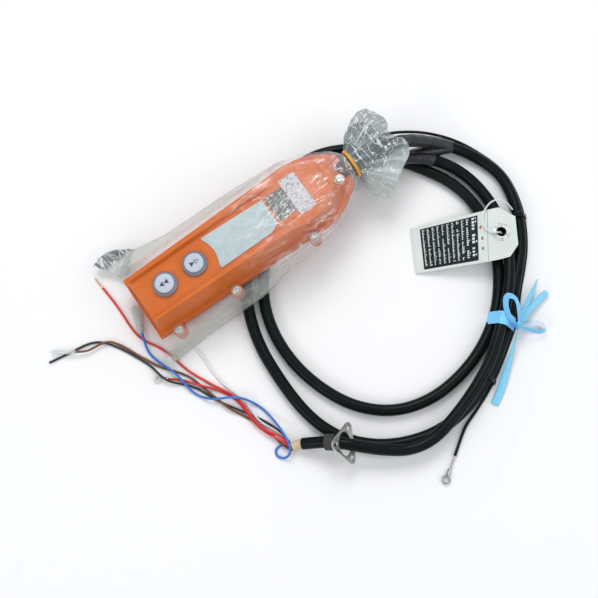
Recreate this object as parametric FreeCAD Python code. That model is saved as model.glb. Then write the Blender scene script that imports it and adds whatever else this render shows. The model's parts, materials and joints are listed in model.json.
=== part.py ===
"""Two-button pendant control station with its cable, laid out on a table, in its bag.

Frame: +Y runs along the pendant's long axis towards its cable end, +X to its right seen from the
front, +Z up. The origin is the bottom centre of the bagged pendant. Sizes are in millimetres.
The pendant is drawn in its own axes (u across, s along from the button end, h up from its back)
and then pitched, because its back rests on two strands of its own cable.
"""
import FreeCAD, Part
import math
import os

V = FreeCAD.Vector
UP = V(0, 0, 1)

# ---- driving dimensions: pendant -------------------------------------------------------------
PITCH_DEG = 7.0            # nose-up lean of the pendant on the strands under it
BUTTON_END_Y = -129.0      # row-frame Y of the button end of the case
FLOOR_GAP = 0.6           # film thickness and slack under the lowest edge of the case

CASE_LENGTH = 238.0
SPLIT_H = 24.0             # height of the split line over the back
GASKET_T = 1.0
FACE_H = 50.0              # channel floor, where the buttons sit
RIM_H = 54.5               # crest of the two guard rims beside the buttons
WALL = 2.6
FLANGE_T = 3.2
FLANGE_OUT = 1.8           # how far the flange stands out from the walls
RIM_END_S = 150.0
RIM_FADE_S = 172.0

# half widths and ends of the plan outline: (height, low half, wide half, neck half, low s, top s)
REAR_SECTIONS = [(0.0, 26.0, 29.0, 9.0, 3.0, 234.0), (8.0, 31.5, 34.5, 13.0, 0.6, 237.4),
                 (SPLIT_H, 33.0, 36.0, 14.0, 0.0, CASE_LENGTH)]
FRONT_SECTIONS = [(SPLIT_H + GASKET_T, 32.0, 35.2, 13.6, 0.4, 237.0), (RIM_H, 25.0, 28.5, 9.5, 4.6, 219.0)]
FLANGE_SECTION = (33.0 + FLANGE_OUT, 36.0 + FLANGE_OUT, 14.0 + FLANGE_OUT,
                  -FLANGE_OUT, CASE_LENGTH + FLANGE_OUT)
WIDE_S = 176.0             # where the outline is widest, before it rounds in to the neck

EARS = [(38.4, 17.0), (38.8, 84.0), (39.2, 176.0)]   # screw ears (u, s), on the right side only
EAR_R = 6.2
TOP_SCREW = (11.5, 226.0)
TOP_BOSS_R = 6.0
TOP_BOSS_H = 44.0
SCREW_R = 2.0
SCREW_HEAD_R = 3.9
SCREW_HEAD_T = 2.6
WASHER_R = 4.8
WASHER_T = 0.8

# ---- driving dimensions: buttons and contacts -----------------------------------------------
BUTTONS = {"lower": 32.0, "upper": 66.0}             # s of each button's centre
BUTTON_TRAVEL = 4.0
BEZEL_R = 12.2
BEZEL_T = 3.4
NECK_R = 10.8
CAP_R = 9.5
CAP_TOP_H = 56.4
STEM_R = 3.0
STEM_FIT = 0.05
LEDGE_H = 42.0
CONTACT_TOP_H = 29.8
BRIDGE_GAP = 0.1

# ---- driving dimensions: cable and what is on it ---------------------------------------------
CABLE_R = 5.75
WIRE_R = 1.15
SUSPENSION_R = 1.5
CABLE_H = 25.0             # height of the cable's centre where it enters the case
CABLE_START_S = 246.0      # the free cable is counted from here, inside the bushing's nose
SUSPENSION_H = 34.5        # height of the suspension wire where it leaves the bushing's flange
NECK_HOLE_R = 9.0
BUSHING_FLANGE_R = 11.5
BUSHING_NOSE_R = 7.4
SHEATH_R = 4.5
PLATE_PCD = 33.0           # circle through the three holes of the flange plate
PLATE_HOLE_R = 2.6
PLATE_BORE_R = 11.5
PLATE_CORNER_R = 5.5
PLATE_T = 1.6
TIE_T = 0.9
TIE_WIDTH = 4.0

os.makedirs("parts", exist_ok=True)


# ---- helpers -----------------------------------------------------------------------------------
def save(node, shape):
    shape.exportStep("parts/" + node + ".step")


def pitched(shape):
    """Move a shape from the pendant's own axes (u, s, h) into the row frame."""
    turned = shape.copy()
    turned.rotate(V(0, 0, 0), V(1, 0, 0), PITCH_DEG)
    turned.translate(V(0, BUTTON_END_Y, FLOOR_GAP))
    return turned


def point(u, s, h):
    """A point of the pendant's own axes, in the row frame."""
    lean = math.radians(PITCH_DEG)
    y = BUTTON_END_Y + s * math.cos(lean) - h * math.sin(lean)
    return (u, y, FLOOR_GAP + s * math.sin(lean) + h * math.cos(lean))


def box(u0, u1, s0, s1, h0, h1):
    return Part.makeBox(u1 - u0, s1 - s0, h1 - h0, V(u0, s0, h0))


def post(u, s, h0, h1, radius):
    return Part.makeCylinder(radius, h1 - h0, V(u, s, h0))


def ring(u, s, h0, h1, inner, outer):
    return post(u, s, h0, h1, outer).cut(post(u, s, h0 - 1, h1 + 1, inner))


def rod(s0, s1, radius, end_radius=None, u=0.0, h=CABLE_H):
    """A round bar along s, straight or tapered."""
    if end_radius is None:
        return Part.makeCylinder(radius, s1 - s0, V(u, s0, h), V(0, 1, 0))
    return Part.makeCone(radius, end_radius, s1 - s0, V(u, s0, h), V(0, 1, 0))


def outline(h, low, wide, neck, low_s, top_s, inset=0.0):
    """Closed plan outline of the case at height h: straight sides and a rounded neck end."""
    low, wide, neck = low - inset, wide - inset, neck - inset
    low_s, top_s = low_s + inset, top_s - inset
    shoulder = (wide * 0.8 + neck * 0.2, WIDE_S + (top_s - WIDE_S) * 0.58)
    right = [V(low, low_s, h), V(wide, WIDE_S, h), V(shoulder[0], shoulder[1], h), V(neck, top_s, h)]
    left = [V(-p.x, p.y, p.z) for p in right]
    edges = [
        Part.makeLine(left[0], right[0]),
        Part.makeLine(right[0], right[1]),
        Part.Arc(right[1], right[2], right[3]).toShape(),
        Part.makeLine(right[3], left[3]),
        Part.Arc(left[3], left[2], left[1]).toShape(),
        Part.makeLine(left[1], left[0]),
    ]
    return Part.Wire(edges)


def shell_body(sections, inset=0.0, lift_low=0.0, drop_top=0.0):
    """Solid through the outlines of one half of the case, optionally inset for its hollow."""
    wires = []
    last = len(sections) - 1
    for i, (h, low, wide, neck, low_s, top_s) in enumerate(sections):
        h += lift_low if i == 0 else 0.0
        h -= drop_top if i == last else 0.0
        wires.append(outline(h, low, wide, neck, low_s, top_s, inset))
    return Part.makeLoft(wires, True, True)


def fuse_all(shapes):
    whole = shapes[0]
    for shape in shapes[1:]:
        whole = whole.fuse(shape)
    return whole.removeSplitter()


def ear(u, s, h0, h1):
    tab = box(u - 9, u, s - EAR_R, s + EAR_R, h0, h1)
    return post(u, s, h0, h1, EAR_R).fuse(tab)


# ---- case halves and what holds them together -------------------------------------------------
def flange(h0, h1):
    low, wide, neck, low_s, top_s = FLANGE_SECTION
    return Part.Face(outline(h0, low, wide, neck, low_s, top_s)).extrude(V(0, 0, h1 - h0))


def make_rear_case():
    body = shell_body(REAR_SECTIONS)
    hollow = shell_body(REAR_SECTIONS, WALL, WALL, -1.0)
    solid = [body.cut(hollow), flange(SPLIT_H - FLANGE_T, SPLIT_H).cut(hollow)]
    for u, s in EARS:
        solid.append(ear(u, s, SPLIT_H - 12.0, SPLIT_H).cut(hollow))
    for u in (-11.0, 11.0):
        solid.append(post(u, 12.0, 2.0, 10.0, 4.0))
        solid.append(post(u, 86.0, 2.0, 10.0, 4.0))
        solid.append(post(u, 205.0, 2.0, CABLE_H - CABLE_R - 1.0, 4.0))
    for s in (120.0, 150.0, 180.0):
        solid.append(box(-27.0, 27.0, s, s + 2.0, 2.0, 8.0).cut(box(-4.0, 4.0, s - 1, s + 3, 5.0, 9.0)))
    case = fuse_all(solid)
    for u, s in EARS:
        case = case.cut(post(u, s, SPLIT_H - 10.0, SPLIT_H + 1, SCREW_R + 0.05))
    for u in (-11.0, 11.0):
        for s in (12.0, 86.0):
            case = case.cut(post(u, s, 4.0, 11.0, 1.5))
        case = case.cut(post(u, 205.0, 8.0, CABLE_H, 1.5))
    return case.cut(rod(CASE_LENGTH - 12.0, CASE_LENGTH + 4.0, NECK_HOLE_R))


def make_front_cover():
    body = shell_body(FRONT_SECTIONS)
    body = body.makeFillet(5.0, corner_edges(body))
    hollow = shell_body(FRONT_SECTIONS, WALL, -1.0, RIM_H - FACE_H + WALL + 0.4)
    floor_cut = Part.Face(Part.makePolygon([
        V(-20.0, -5.0, FACE_H), V(20.0, -5.0, FACE_H), V(22.4, -5.0, RIM_H + 1), V(-22.4, -5.0, RIM_H + 1),
        V(-20.0, -5.0, FACE_H)])).extrude(V(0, RIM_FADE_S + 10.0, 0))
    fade = Part.Face(Part.makePolygon([
        V(-40, RIM_END_S, RIM_H), V(-40, RIM_FADE_S, FACE_H), V(-40, 245, FACE_H), V(-40, 245, 60),
        V(-40, RIM_END_S, 60), V(-40, RIM_END_S, RIM_H)])).extrude(V(80, 0, 0))
    solid = [body.cut(floor_cut).cut(fade)]
    solid.append(flange(SPLIT_H + GASKET_T, SPLIT_H + GASKET_T + FLANGE_T))
    for u, s in EARS:
        solid.append(ear(u, s, SPLIT_H + GASKET_T, SPLIT_H + GASKET_T + FLANGE_T + 1.0))
    solid.append(post(TOP_SCREW[0], TOP_SCREW[1], SPLIT_H + GASKET_T, TOP_BOSS_H, TOP_BOSS_R))
    cover = fuse_all(solid).cut(hollow)
    boss = post(TOP_SCREW[0], TOP_SCREW[1], SPLIT_H + 8.5, TOP_BOSS_H, TOP_BOSS_R)
    cover = cover.fuse(boss).removeSplitter()
    for u, s in EARS:
        cover = cover.cut(post(u, s, SPLIT_H, SPLIT_H + 8.0, SCREW_R + 0.2))
    cover = cover.cut(post(TOP_SCREW[0], TOP_SCREW[1], SPLIT_H, TOP_BOSS_H + 1, SCREW_R + 0.05))
    cover = cover.cut(post(TOP_SCREW[0], TOP_SCREW[1], TOP_BOSS_H, RIM_H, WASHER_R + 0.5))
    for s in BUTTONS.values():
        cover = cover.cut(post(0.0, s, FACE_H - 8.0, FACE_H + 1, NECK_R + 0.2))
    cover = cover.cut(box(-18.0, 18.0, 214.0, 216.0, FACE_H - 0.9, FACE_H + 1))
    return cover.cut(rod(CASE_LENGTH - 12.0, CASE_LENGTH + 4.0, NECK_HOLE_R))


def corner_edges(body):
    """The upright edges at the two corners of the button end."""
    found = []
    for edge in body.Edges:
        ends = [v.Point for v in edge.Vertexes]
        if len(ends) == 2 and abs(ends[0].z - ends[1].z) > 15 and max(p.y for p in ends) < 10:
            found.append(edge)
    return found


def make_gasket():
    outer = outline(SPLIT_H, 32.4, 35.4, 13.4, 0.6, CASE_LENGTH - 0.6)
    inner = outline(SPLIT_H, 30.8, 33.8, 11.8, 2.2, CASE_LENGTH - 2.2)
    band = Part.Face(outer).extrude(V(0, 0, GASKET_T)).cut(Part.Face(inner).extrude(V(0, 0, GASKET_T)))
    return band.cut(rod(CASE_LENGTH - 12.0, CASE_LENGTH + 4.0, NECK_HOLE_R))


def make_screw(u, s, seat_h, length, radius=SCREW_R, head_r=SCREW_HEAD_R, head_t=SCREW_HEAD_T):
    """Pan-head screw with a cross recess; its head sits on seat_h."""
    shank = post(u, s, seat_h - length, seat_h, radius)
    head = post(u, s, seat_h, seat_h + head_t, head_r)
    head = head.makeFillet(head_t * 0.55, [head.Edges[0]])
    slot_low = seat_h + head_t - 1.3
    for long_u, long_s in ((head_r * 0.55, 0.45), (0.45, head_r * 0.55)):
        head = head.cut(box(u - long_u, u + long_u, s - long_s, s + long_s, slot_low, slot_low + 2.3))
    return shank.fuse(head)


def make_cover_screws():
    ear_seat = SPLIT_H + GASKET_T + FLANGE_T + 1.0 + WASHER_T
    screws = [make_screw(u, s, ear_seat, 14.0) for u, s in EARS]
    screws.append(make_screw(TOP_SCREW[0], TOP_SCREW[1], TOP_BOSS_H + WASHER_T, 12.0))
    return Part.makeCompound(screws)


def make_screw_washers():
    seats = [(u, s, SPLIT_H + GASKET_T + FLANGE_T + 1.0) for u, s in EARS]
    seats.append((TOP_SCREW[0], TOP_SCREW[1], TOP_BOSS_H))
    return Part.makeCompound([ring(u, s, h, h + WASHER_T, SCREW_R + 0.3, WASHER_R) for u, s, h in seats])


# ---- one push button ----------------------------------------------------------------------------
def make_bezel(s):
    """Threaded collar clamped in the cover, with the ledge that carries the spring."""
    collar = ring(0, s, FACE_H, FACE_H + BEZEL_T, CAP_R + 0.3, BEZEL_R)
    rim = [e for e in collar.Edges if edge_is_circle(e, FACE_H + BEZEL_T, BEZEL_R)]
    collar = collar.makeChamfer(1.0, rim)
    neck = ring(0, s, LEDGE_H, FACE_H, CAP_R + 0.3, NECK_R)
    ledge = ring(0, s, LEDGE_H, LEDGE_H + 1.4, STEM_R + STEM_FIT, NECK_R)
    return fuse_all([collar, neck, ledge])


def edge_is_circle(edge, h, radius):
    if not hasattr(edge.Curve, "Radius"):
        return False
    return abs(edge.Curve.Radius - radius) < 0.01 and abs(edge.Vertexes[0].Z - h) < 0.01


def make_bezel_nut(s):
    corners = []
    for k in range(7):
        angle = math.radians(60 * k)
        corners.append(V(13.6 * math.cos(angle), s + 13.6 * math.sin(angle), FACE_H - WALL - 2.9))
    nut = Part.Face(Part.makePolygon(corners)).extrude(V(0, 0, 2.4))
    return nut.cut(post(0, s, FACE_H - 9, FACE_H, NECK_R + 0.05))


def make_cap(s):
    """Crowned cap: a skirt that guides it in the collar and a roof over the spring."""
    shell = post(0, s, 47.8, CAP_TOP_H, CAP_R)
    shell = shell.makeFillet(1.6, [e for e in shell.Edges if edge_is_circle(e, CAP_TOP_H, CAP_R)])
    return shell.cut(post(0, s, 47.0, 53.0, CAP_R - 1.1))


def make_stem(s):
    return post(0, s, CONTACT_TOP_H + BRIDGE_GAP + BUTTON_TRAVEL, 53.0, STEM_R)


def make_clip(s):
    return ring(0, s, LEDGE_H - 1.0, LEDGE_H - 0.1, STEM_R, STEM_R + 2.0)


def make_bridge(s):
    low = CONTACT_TOP_H + BRIDGE_GAP + BUTTON_TRAVEL - 1.0
    bar = box(-9.5, 9.5, s - 2.5, s + 2.5, low, low + 1.0)
    return fuse_all([bar] + [post(u, s, low, low + 1.8, 1.8) for u in (-7.5, 7.5)])


def make_spring(s):
    helix = Part.makeLongHelix(1.75, 8.4, 5.6)
    start = V(5.6, 0, 0)
    profile = Part.Wire([Part.makeCircle(0.45, start, V(0, 1, 0))])
    coil = Part.Wire(helix).makePipeShell([profile], True, True)
    coil.translate(V(0, s, LEDGE_H + 1.4 + 0.55))
    return coil


# ---- contacts, clamp and bushing inside the case -----------------------------------------------
def make_contact_block():
    base = box(-15.0, 15.0, 6.0, 92.0, 10.0, 22.0)
    solid = [base]
    for s in BUTTONS.values():
        for u in (-7.5, 7.5):
            solid.append(box(u - 2.4, u + 2.4, s - 3.2, s + 3.2, 22.0, 27.0))
    block = fuse_all(solid)
    for u in (-11.0, 11.0):
        for s in (12.0, 86.0):
            block = block.cut(post(u, s, 9.0, 23.0, 1.8))
    for s in BUTTONS.values():
        for u in (-7.5, 7.5):
            block = block.cut(post(u, s + 9.5, 14.0, 23.0, 1.55))
            block = block.cut(post(u, s, 21.0, 28.0, 1.25))
    return block


def make_fixed_contacts():
    """Rivet-headed contacts on their posts, one pair under each bridge."""
    pieces = []
    for s in BUTTONS.values():
        for u in (-7.5, 7.5):
            pieces.append(post(u, s, 27.0, CONTACT_TOP_H - 1.0, 2.2).fuse(post(u, s, 21.0, 27.0, 1.2)))
    return Part.makeCompound(pieces)


def make_terminal_screws():
    return Part.makeCompound([
        make_screw(u, s + 9.5, 22.0, 7.5, 1.5, 2.6, 1.6) for s in BUTTONS.values() for u in (-7.5, 7.5)])


def make_block_screws():
    spots = [(u, s) for u in (-11.0, 11.0) for s in (12.0, 86.0)]
    return Part.makeCompound([make_screw(u, s, 22.0, 17.0, 1.45, 2.8, 1.8) for u, s in spots])


def make_cable_clamp():
    top = CABLE_H + CABLE_R + 2.0
    saddle = box(-8.5, 8.5, 199.0, 211.0, CABLE_H - CABLE_R - 1.0, top)
    feet = box(-15.0, 15.0, 199.0, 211.0, CABLE_H - CABLE_R - 1.0, CABLE_H - CABLE_R + 1.6)
    clamp = fuse_all([saddle, feet]).cut(rod(198.0, 212.0, CABLE_R + 0.05))
    clamp = clamp.cut(box(-CABLE_R, CABLE_R, 198.0, 212.0, CABLE_H - CABLE_R - 2, CABLE_H))
    for u in (-11.0, 11.0):
        clamp = clamp.cut(post(u, 205.0, 10.0, 30.0, 1.7))
    return clamp


def make_clamp_screws():
    seat = CABLE_H - CABLE_R + 1.6
    return Part.makeCompound([make_screw(u, 205.0, seat, 10.0, 1.45, 2.3, 1.6) for u in (-11.0, 11.0)])


def make_cable_bushing():
    """Rubber gland: a plug in the neck, a flange outside it and a tapered nose on the cable."""
    solid = fuse_all([
        rod(CASE_LENGTH - 8.0, CASE_LENGTH - WALL - 0.6, NECK_HOLE_R + 1.6),
        rod(CASE_LENGTH - WALL - 0.6, CASE_LENGTH + FLANGE_OUT + 0.1, NECK_HOLE_R - 0.05),
        rod(CASE_LENGTH + FLANGE_OUT + 0.1, CASE_LENGTH + 6.0, BUSHING_FLANGE_R),
        rod(CASE_LENGTH + 6.0, CASE_LENGTH + 32.0, BUSHING_NOSE_R + 0.5, BUSHING_NOSE_R)])
    solid = solid.cut(rod(CASE_LENGTH - 10.0, CASE_LENGTH + 40.0, CABLE_R + 0.02))
    wire_hole = rod(CASE_LENGTH + 1.0, CASE_LENGTH + 8.0, SUSPENSION_R + 0.02, None, 0.0, SUSPENSION_H)
    return solid.cut(wire_hole)

# ---- routes of the cable, the suspension wire and the cores, in the row frame -----------------
# Outer lap from the neck, a second lap inside it, then the last lap on top of both, which runs
# through the flange plate to the stripped end. Z is the height of the cord's centre.
CABLE = [
    point(0, CABLE_START_S, CABLE_H), point(0, CABLE_START_S + 22.0, CABLE_H),
    (3, 161, 52), (8, 183, 40), (16, 203, 24), (28, 222, 11), (48, 237, 6),
    (77, 247, 6), (101, 244, 6), (127, 234, 7.2), (151, 219, 6), (168, 203, 6), (186, 183, 6),
    (207, 162, 6.6),
    (225, 137, 6), (243, 107, 7.2), (255, 74, 6), (258, 40, 6), (251, 10, 6), (238, -16, 6), (219, -37, 6),
    (197, -51, 6), (169, -59, 6), (132, -61, 6), (86, -58, 6), (45, -44, 6), (10, -21, 6), (-18, 9, 6),
    (-39, 48, 6), (-48, 90, 6), (-38, 126, 6), (-17, 152, 6), (9, 171, 6), (35, 188, 6), (60, 201, 6),
    (90, 206, 6), (120, 202, 6), (150, 190, 6), (176, 172, 6), (197, 151, 6.6), (215, 122, 6), (226, 88, 6),
    (229, 50, 6), (219, 14, 6), (195, -14, 6), (164, -31, 6), (126, -41, 6), (85, -40, 6), (48, -27, 6),
    (17, -2, 6), (-7, 33, 6), (-16, 78, 6), (-10, 118, 9.5), (2, 148, 18.5), (14, 176, 18.5), (31, 199, 14.5),
    (57, 217, 6), (90, 221, 6), (121, 216, 7.5), (149, 203, 13), (173, 186, 15.5), (193, 166, 16.8),
    (212, 143, 18), (232, 116, 18.8), (247, 83, 18.8), (257, 51, 18.5), (262, 25, 16), (257, 1, 15.5),
    (243, -19, 18), (230, -34, 21.2), (218, -46, 22.6), (208, -57, 19.8), (200, -68, 13.6), (193.5, -78, 8.2)]
LEAD_RUNS = 6              # runs of the route in the lead, before the cable reaches the table
TAIL_FROM_RUN = 66         # run where the tail starts, after the last stretch that lies on others

SUSPENSION = [
    point(0, 240.2, SUSPENSION_H), point(0, 256.0, SUSPENSION_H),
    (-1.5, 136, 67.2), (-5, 150, 64), (-5.5, 163, 57.5), (0, 186, 42),
    (7, 207, 25), (22, 229, 9.5), (44, 243.5, 2.6), (75.5, 253.6, 2), (103, 250.4, 2), (130, 240.2, 3.1),
    (155, 224.3, 2), (172.7, 207.5, 2), (190.7, 187.5, 2), (213.0, 167.0, 2.2), (230.4, 140.6, 2),
    (249.3, 110.2, 3.1), (263, 76, 2), (267.5, 62, 2), (276, 49, 2), (285, 36, 2.3)]

# The six cores leave the inner sheath in a ring and lie across each other on the table.
CORES = {
    "black": [
        (187, -87.5, 6.2), (176, -87, 2.8), (164.5, -90.5, 1.3), (151, -96.5, 1.3), (140.5, -103.5, 1.3),
        (130.5, -109.5, 1.3), (121, -116, 1.3), (110, -122.5, 1.3), (99, -127, 1.3), (88.5, -132, 1.3),
        (78.5, -140.5, 1.3), (72, -148, 3.6), (65.5, -152.5, 6), (56.5, -155, 5.8), (45.5, -156.5, 1.3),
        (33.5, -162, 1.3), (20.5, -168, 1.3), (11, -173.5, 1.3), (2, -179.5, 1.3), (-5.5, -187.5, 1.3),
        (-9, -197, 1.3), (-10.5, -210, 1.3), (-12, -224, 1.3), (-14, -237, 1.3)],
    "brown": [
        (193, -89.5, 6.2), (186.5, -93.5, 4.2), (178.5, -95, 3.4), (167.5, -97, 1.6), (157, -100.5, 1.3),
        (144, -106, 1.3), (134.5, -111, 1.3), (124.5, -117, 4.2), (111, -121, 4.2), (99, -124, 1.3),
        (89.5, -127, 1.3), (77, -130.5, 1.3), (67, -137, 1.3), (58.5, -144, 1.3), (49.5, -151, 1.3),
        (40, -155.5, 1.3), (29, -161.5, 1.3), (17, -166.5, 1.3), (9.5, -171, 2.5), (3, -176, 4.2),
        (-0.5, -183, 4.2), (-1, -192, 4.4), (-2, -202, 5), (-7.5, -210, 5.7)],
    "red_a": [
        (188.5, -88, 8.8), (180, -89, 6.6), (170.5, -94.5, 6.8), (163, -99.5, 6.7), (153.5, -102.5, 6.7),
        (143, -103.5, 6.7), (134, -103.5, 6.7), (126, -104, 6.7), (117, -106, 4), (107.5, -110.5, 3.9),
        (98, -116, 2.2), (87.5, -121, 1.3), (77.5, -126, 1.3), (67.5, -130, 1.3), (55.5, -133, 1.3),
        (44, -136, 1.3), (33, -140.5, 1.3), (22.5, -147, 1.3), (12.5, -151, 1.3), (-1, -152, 1.3),
        (-18.5, -151.5, 1.3), (-34.5, -152, 1.3), (-49.5, -153.5, 1.3)],
    "red_b": [
        (191.5, -89, 8.8), (182.5, -91, 6.4), (173, -96.5, 5.2), (163, -101, 4.1), (153.5, -104, 4),
        (143, -105, 4.1), (132, -105, 4.1), (122, -106, 2), (111.5, -110, 1.3), (102, -116.5, 1.3),
        (94, -123.5, 3.9), (85.5, -131, 3.9), (76.5, -137, 1.3), (70.5, -143.5, 1.3), (66, -150, 2.2)],
    "white": [
        (188.5, -88, 3.6), (179, -88, 1.6), (168.5, -91, 1.3), (161, -95, 1.3), (153, -99, 3),
        (144, -100.5, 4),
        (133, -99.5, 1.3), (122, -101, 1.3), (112, -104.5, 1.3), (102.5, -107.5, 1.3), (91.5, -109.5, 1.3),
        (79, -109.8, 1.3), (68, -109.5, 1.3), (56, -110.5, 1.3)],
    "blue": [
        (191.5, -89, 3.6), (184.5, -92, 1.6), (181.5, -96.5, 1.3), (183, -103, 1.3), (189.5, -104.5, 1.3),
        (195, -99.5, 1.8), (195, -93, 8.5), (187, -88.5, 13), (174, -87.5, 10.5), (162, -87.5, 5.5),
        (148, -88.5, 1.4), (137, -92, 1.4), (128.5, -97, 4.5), (122.5, -102.5, 9), (116.5, -110.5, 9),
        (112, -119, 6.6), (106.5, -127, 5), (99, -133, 1.3), (90.5, -137, 2.2), (83, -138.5, 4.1),
        (73.5, -139.5, 4.1), (64, -141.5, 4.1), (54.5, -145, 4.1), (45, -148.5, 1.3), (36, -151, 1.3),
        (27.5, -150.5, 2.8), (19.5, -148, 4.4), (10.5, -145.5, 3.4)],
}
TAG_LOOP = [
    (133, 205.4, 15.2), (133, 204.6, 19.5), (132.5, 201.5, 23.5), (129.5, 196.5, 24.6), (124, 193, 23.6),
    (117.4, 192.5, 22.9), (108.5, 198.5, 22.6), (103.5, 207.5, 22.7), (101.6, 216.3, 22.6), (105, 224, 22.2),
    (111.7, 228.5, 20), (119.5, 230, 15.8)]


# ---- cords ---------------------------------------------------------------------------------------
def bend(points, i):
    """Corner i of a route: unit directions in and out, arc radius, and length cut off each run."""
    before, corner, after = (V(*points[k]) for k in (i - 1, i, i + 1))
    run_in, run_out = corner - before, after - corner
    cut = 0.45 * min(run_in.Length, run_out.Length)
    turn = run_in.getAngle(run_out)
    radius = cut / math.tan(turn / 2)
    return run_in.normalize(), run_out.normalize(), radius, cut, turn


def middle_of_bend(points, i):
    """Point of the cord nearest to corner i, and its direction there."""
    way_in, way_out, radius, cut, turn = bend(points, i)
    inward = (way_out - way_in).normalize()
    sagitta = radius * (1 / math.cos(turn / 2) - 1)
    return V(*points[i]) + inward * sagitta, (way_in + way_out).normalize()


def cord_edges(points):
    """Straight runs joined by tangent arcs: edges 0, 2, 4... are the runs, the odd ones the arcs."""
    edges = []
    start = V(*points[0])
    for i in range(1, len(points) - 1):
        way_in, way_out, radius, cut, turn = bend(points, i)
        corner = V(*points[i])
        middle = middle_of_bend(points, i)[0]
        first, last = corner - way_in * cut, corner + way_out * cut
        edges.append(Part.LineSegment(start, first).toShape())
        edges.append(Part.Arc(first, middle, last).toShape())
        start = last
    edges.append(Part.LineSegment(start, V(*points[-1])).toShape())
    return edges


def run_halves(edge):
    """A straight run as two, so that a cord can be parted in its middle."""
    first, last = edge.Vertexes[0].Point, edge.Vertexes[1].Point
    middle = (first + last) * 0.5
    return Part.LineSegment(first, middle).toShape(), Part.LineSegment(middle, last).toShape()


def sweep(edges, radius):
    """Round tube along a chain of edges."""
    start = edges[0].Vertexes[0].Point
    direction = edges[0].tangentAt(edges[0].FirstParameter)
    profile = Part.Wire([Part.makeCircle(radius, start, direction)])
    return Part.Wire(edges).makePipeShell([profile], True, False)


def report_cord(name, points, tube, edges, radius):
    radii = sorted(round(bend(points, i)[2], 1) for i in range(1, len(points) - 1))
    length = sum(edge.Length for edge in edges)
    ratio = tube.Volume / (math.pi * radius ** 2 * length)
    print(name, "length", round(length), "smallest radii", radii[:4], "diameter", 2 * radius,
          "volume ratio", round(ratio, 4), "lowest", round(tube.optimalBoundingBox(False).ZMin, 2))


def make_cord(name, points, radius):
    edges = cord_edges(points)
    tube = sweep(edges, radius)
    report_cord(name, points, tube, edges, radius)
    return tube


def make_cable():
    """The cable in three lengths that meet face to face: lead, turns and tail."""
    edges = cord_edges(CABLE)
    lead_end, turns_start = run_halves(edges[2 * LEAD_RUNS])
    turns_end, tail_start = run_halves(edges[2 * TAIL_FROM_RUN])
    lead = edges[:2 * LEAD_RUNS] + [lead_end]
    turns = [turns_start] + edges[2 * LEAD_RUNS + 1:2 * TAIL_FROM_RUN] + [turns_end]
    tail = [tail_start] + edges[2 * TAIL_FROM_RUN + 1:]
    for name, chain in (("lead", lead), ("turns", turns), ("tail", tail)):
        tube = sweep(chain, CABLE_R)
        save("cable_" + name, tube)
        report_cord("cable_" + name, CABLE, tube, chain, CABLE_R)


def placed(shape, origin, x_axis, y_axis):
    """Put a shape drawn about its own origin at a place, with its X and Y along two directions."""
    z_axis = x_axis.cross(y_axis)
    matrix = FreeCAD.Matrix(
        x_axis.x, y_axis.x, z_axis.x, origin.x,
        x_axis.y, y_axis.y, z_axis.y, origin.y,
        x_axis.z, y_axis.z, z_axis.z, origin.z,
        0, 0, 0, 1)
    moved = shape.copy()
    moved.Placement = FreeCAD.Placement(matrix)
    return moved


# ---- the stripped end: plate, collar, sheath, cores --------------------------------------------
PLATE_AT = V(218.3, -45.8, 23.7)
PLATE_UP = V(-0.18, -0.58, 0.79).normalize()       # from the plate's middle to its upper hole
PLATE_EDGE = V(0.85, -0.45, -0.14)                  # roughly along its lower edge


def plate_axes():
    edge = (PLATE_EDGE - PLATE_UP * PLATE_EDGE.dot(PLATE_UP)).normalize()
    return edge, PLATE_UP


def make_flange_plate():
    """Three-hole flange plate, loose on the cable, to be screwed to a panel behind a gland."""
    corners = [(PLATE_PCD / 2 * math.cos(a), PLATE_PCD / 2 * math.sin(a))
               for a in (math.radians(90 + 120 * k) for k in range(3))]
    belt = belt_face([(x, y, PLATE_CORNER_R) for x, y in corners], 0.0)
    plate = belt.extrude(V(0, 0, PLATE_T))
    plate = plate.cut(Part.makeCylinder(PLATE_BORE_R, PLATE_T + 2, V(0, 0, -1)))
    for x, y in corners:
        plate = plate.cut(Part.makeCylinder(PLATE_HOLE_R, PLATE_T + 2, V(x, y, -1)))
    plate.translate(V(0, 0, -PLATE_T / 2))
    edge, up = plate_axes()
    return placed(plate, PLATE_AT, edge, up)


def make_cable_collar():
    """Rubber sleeve on the cable between the plate and the stripped end."""
    middle, direction = middle_of_bend(CABLE, len(CABLE) - 3)
    side = direction.cross(UP).normalize()
    collar = Part.makeCylinder(8.0, 9.0, V(0, 0, -4.5))
    collar = collar.makeFillet(1.5, [e for e in collar.Edges if hasattr(e.Curve, "Radius")])
    collar = placed(collar, middle, side.cross(direction) * -1, side * -1)
    return collar.cut(sweep(cord_edges(CABLE[-6:]), CABLE_R + 0.02))


SHEATH_END = (190, -88.5, 6.2)


def make_inner_sheath():
    """Tan inner sheath that the cores leave."""
    last = V(*CABLE[-1])
    way = (last - V(*CABLE[-2])).normalize()
    bend_point = last + way * 4.9
    return sweep(cord_edges([tuple(last), tuple(bend_point), SHEATH_END]), SHEATH_R)


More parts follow.
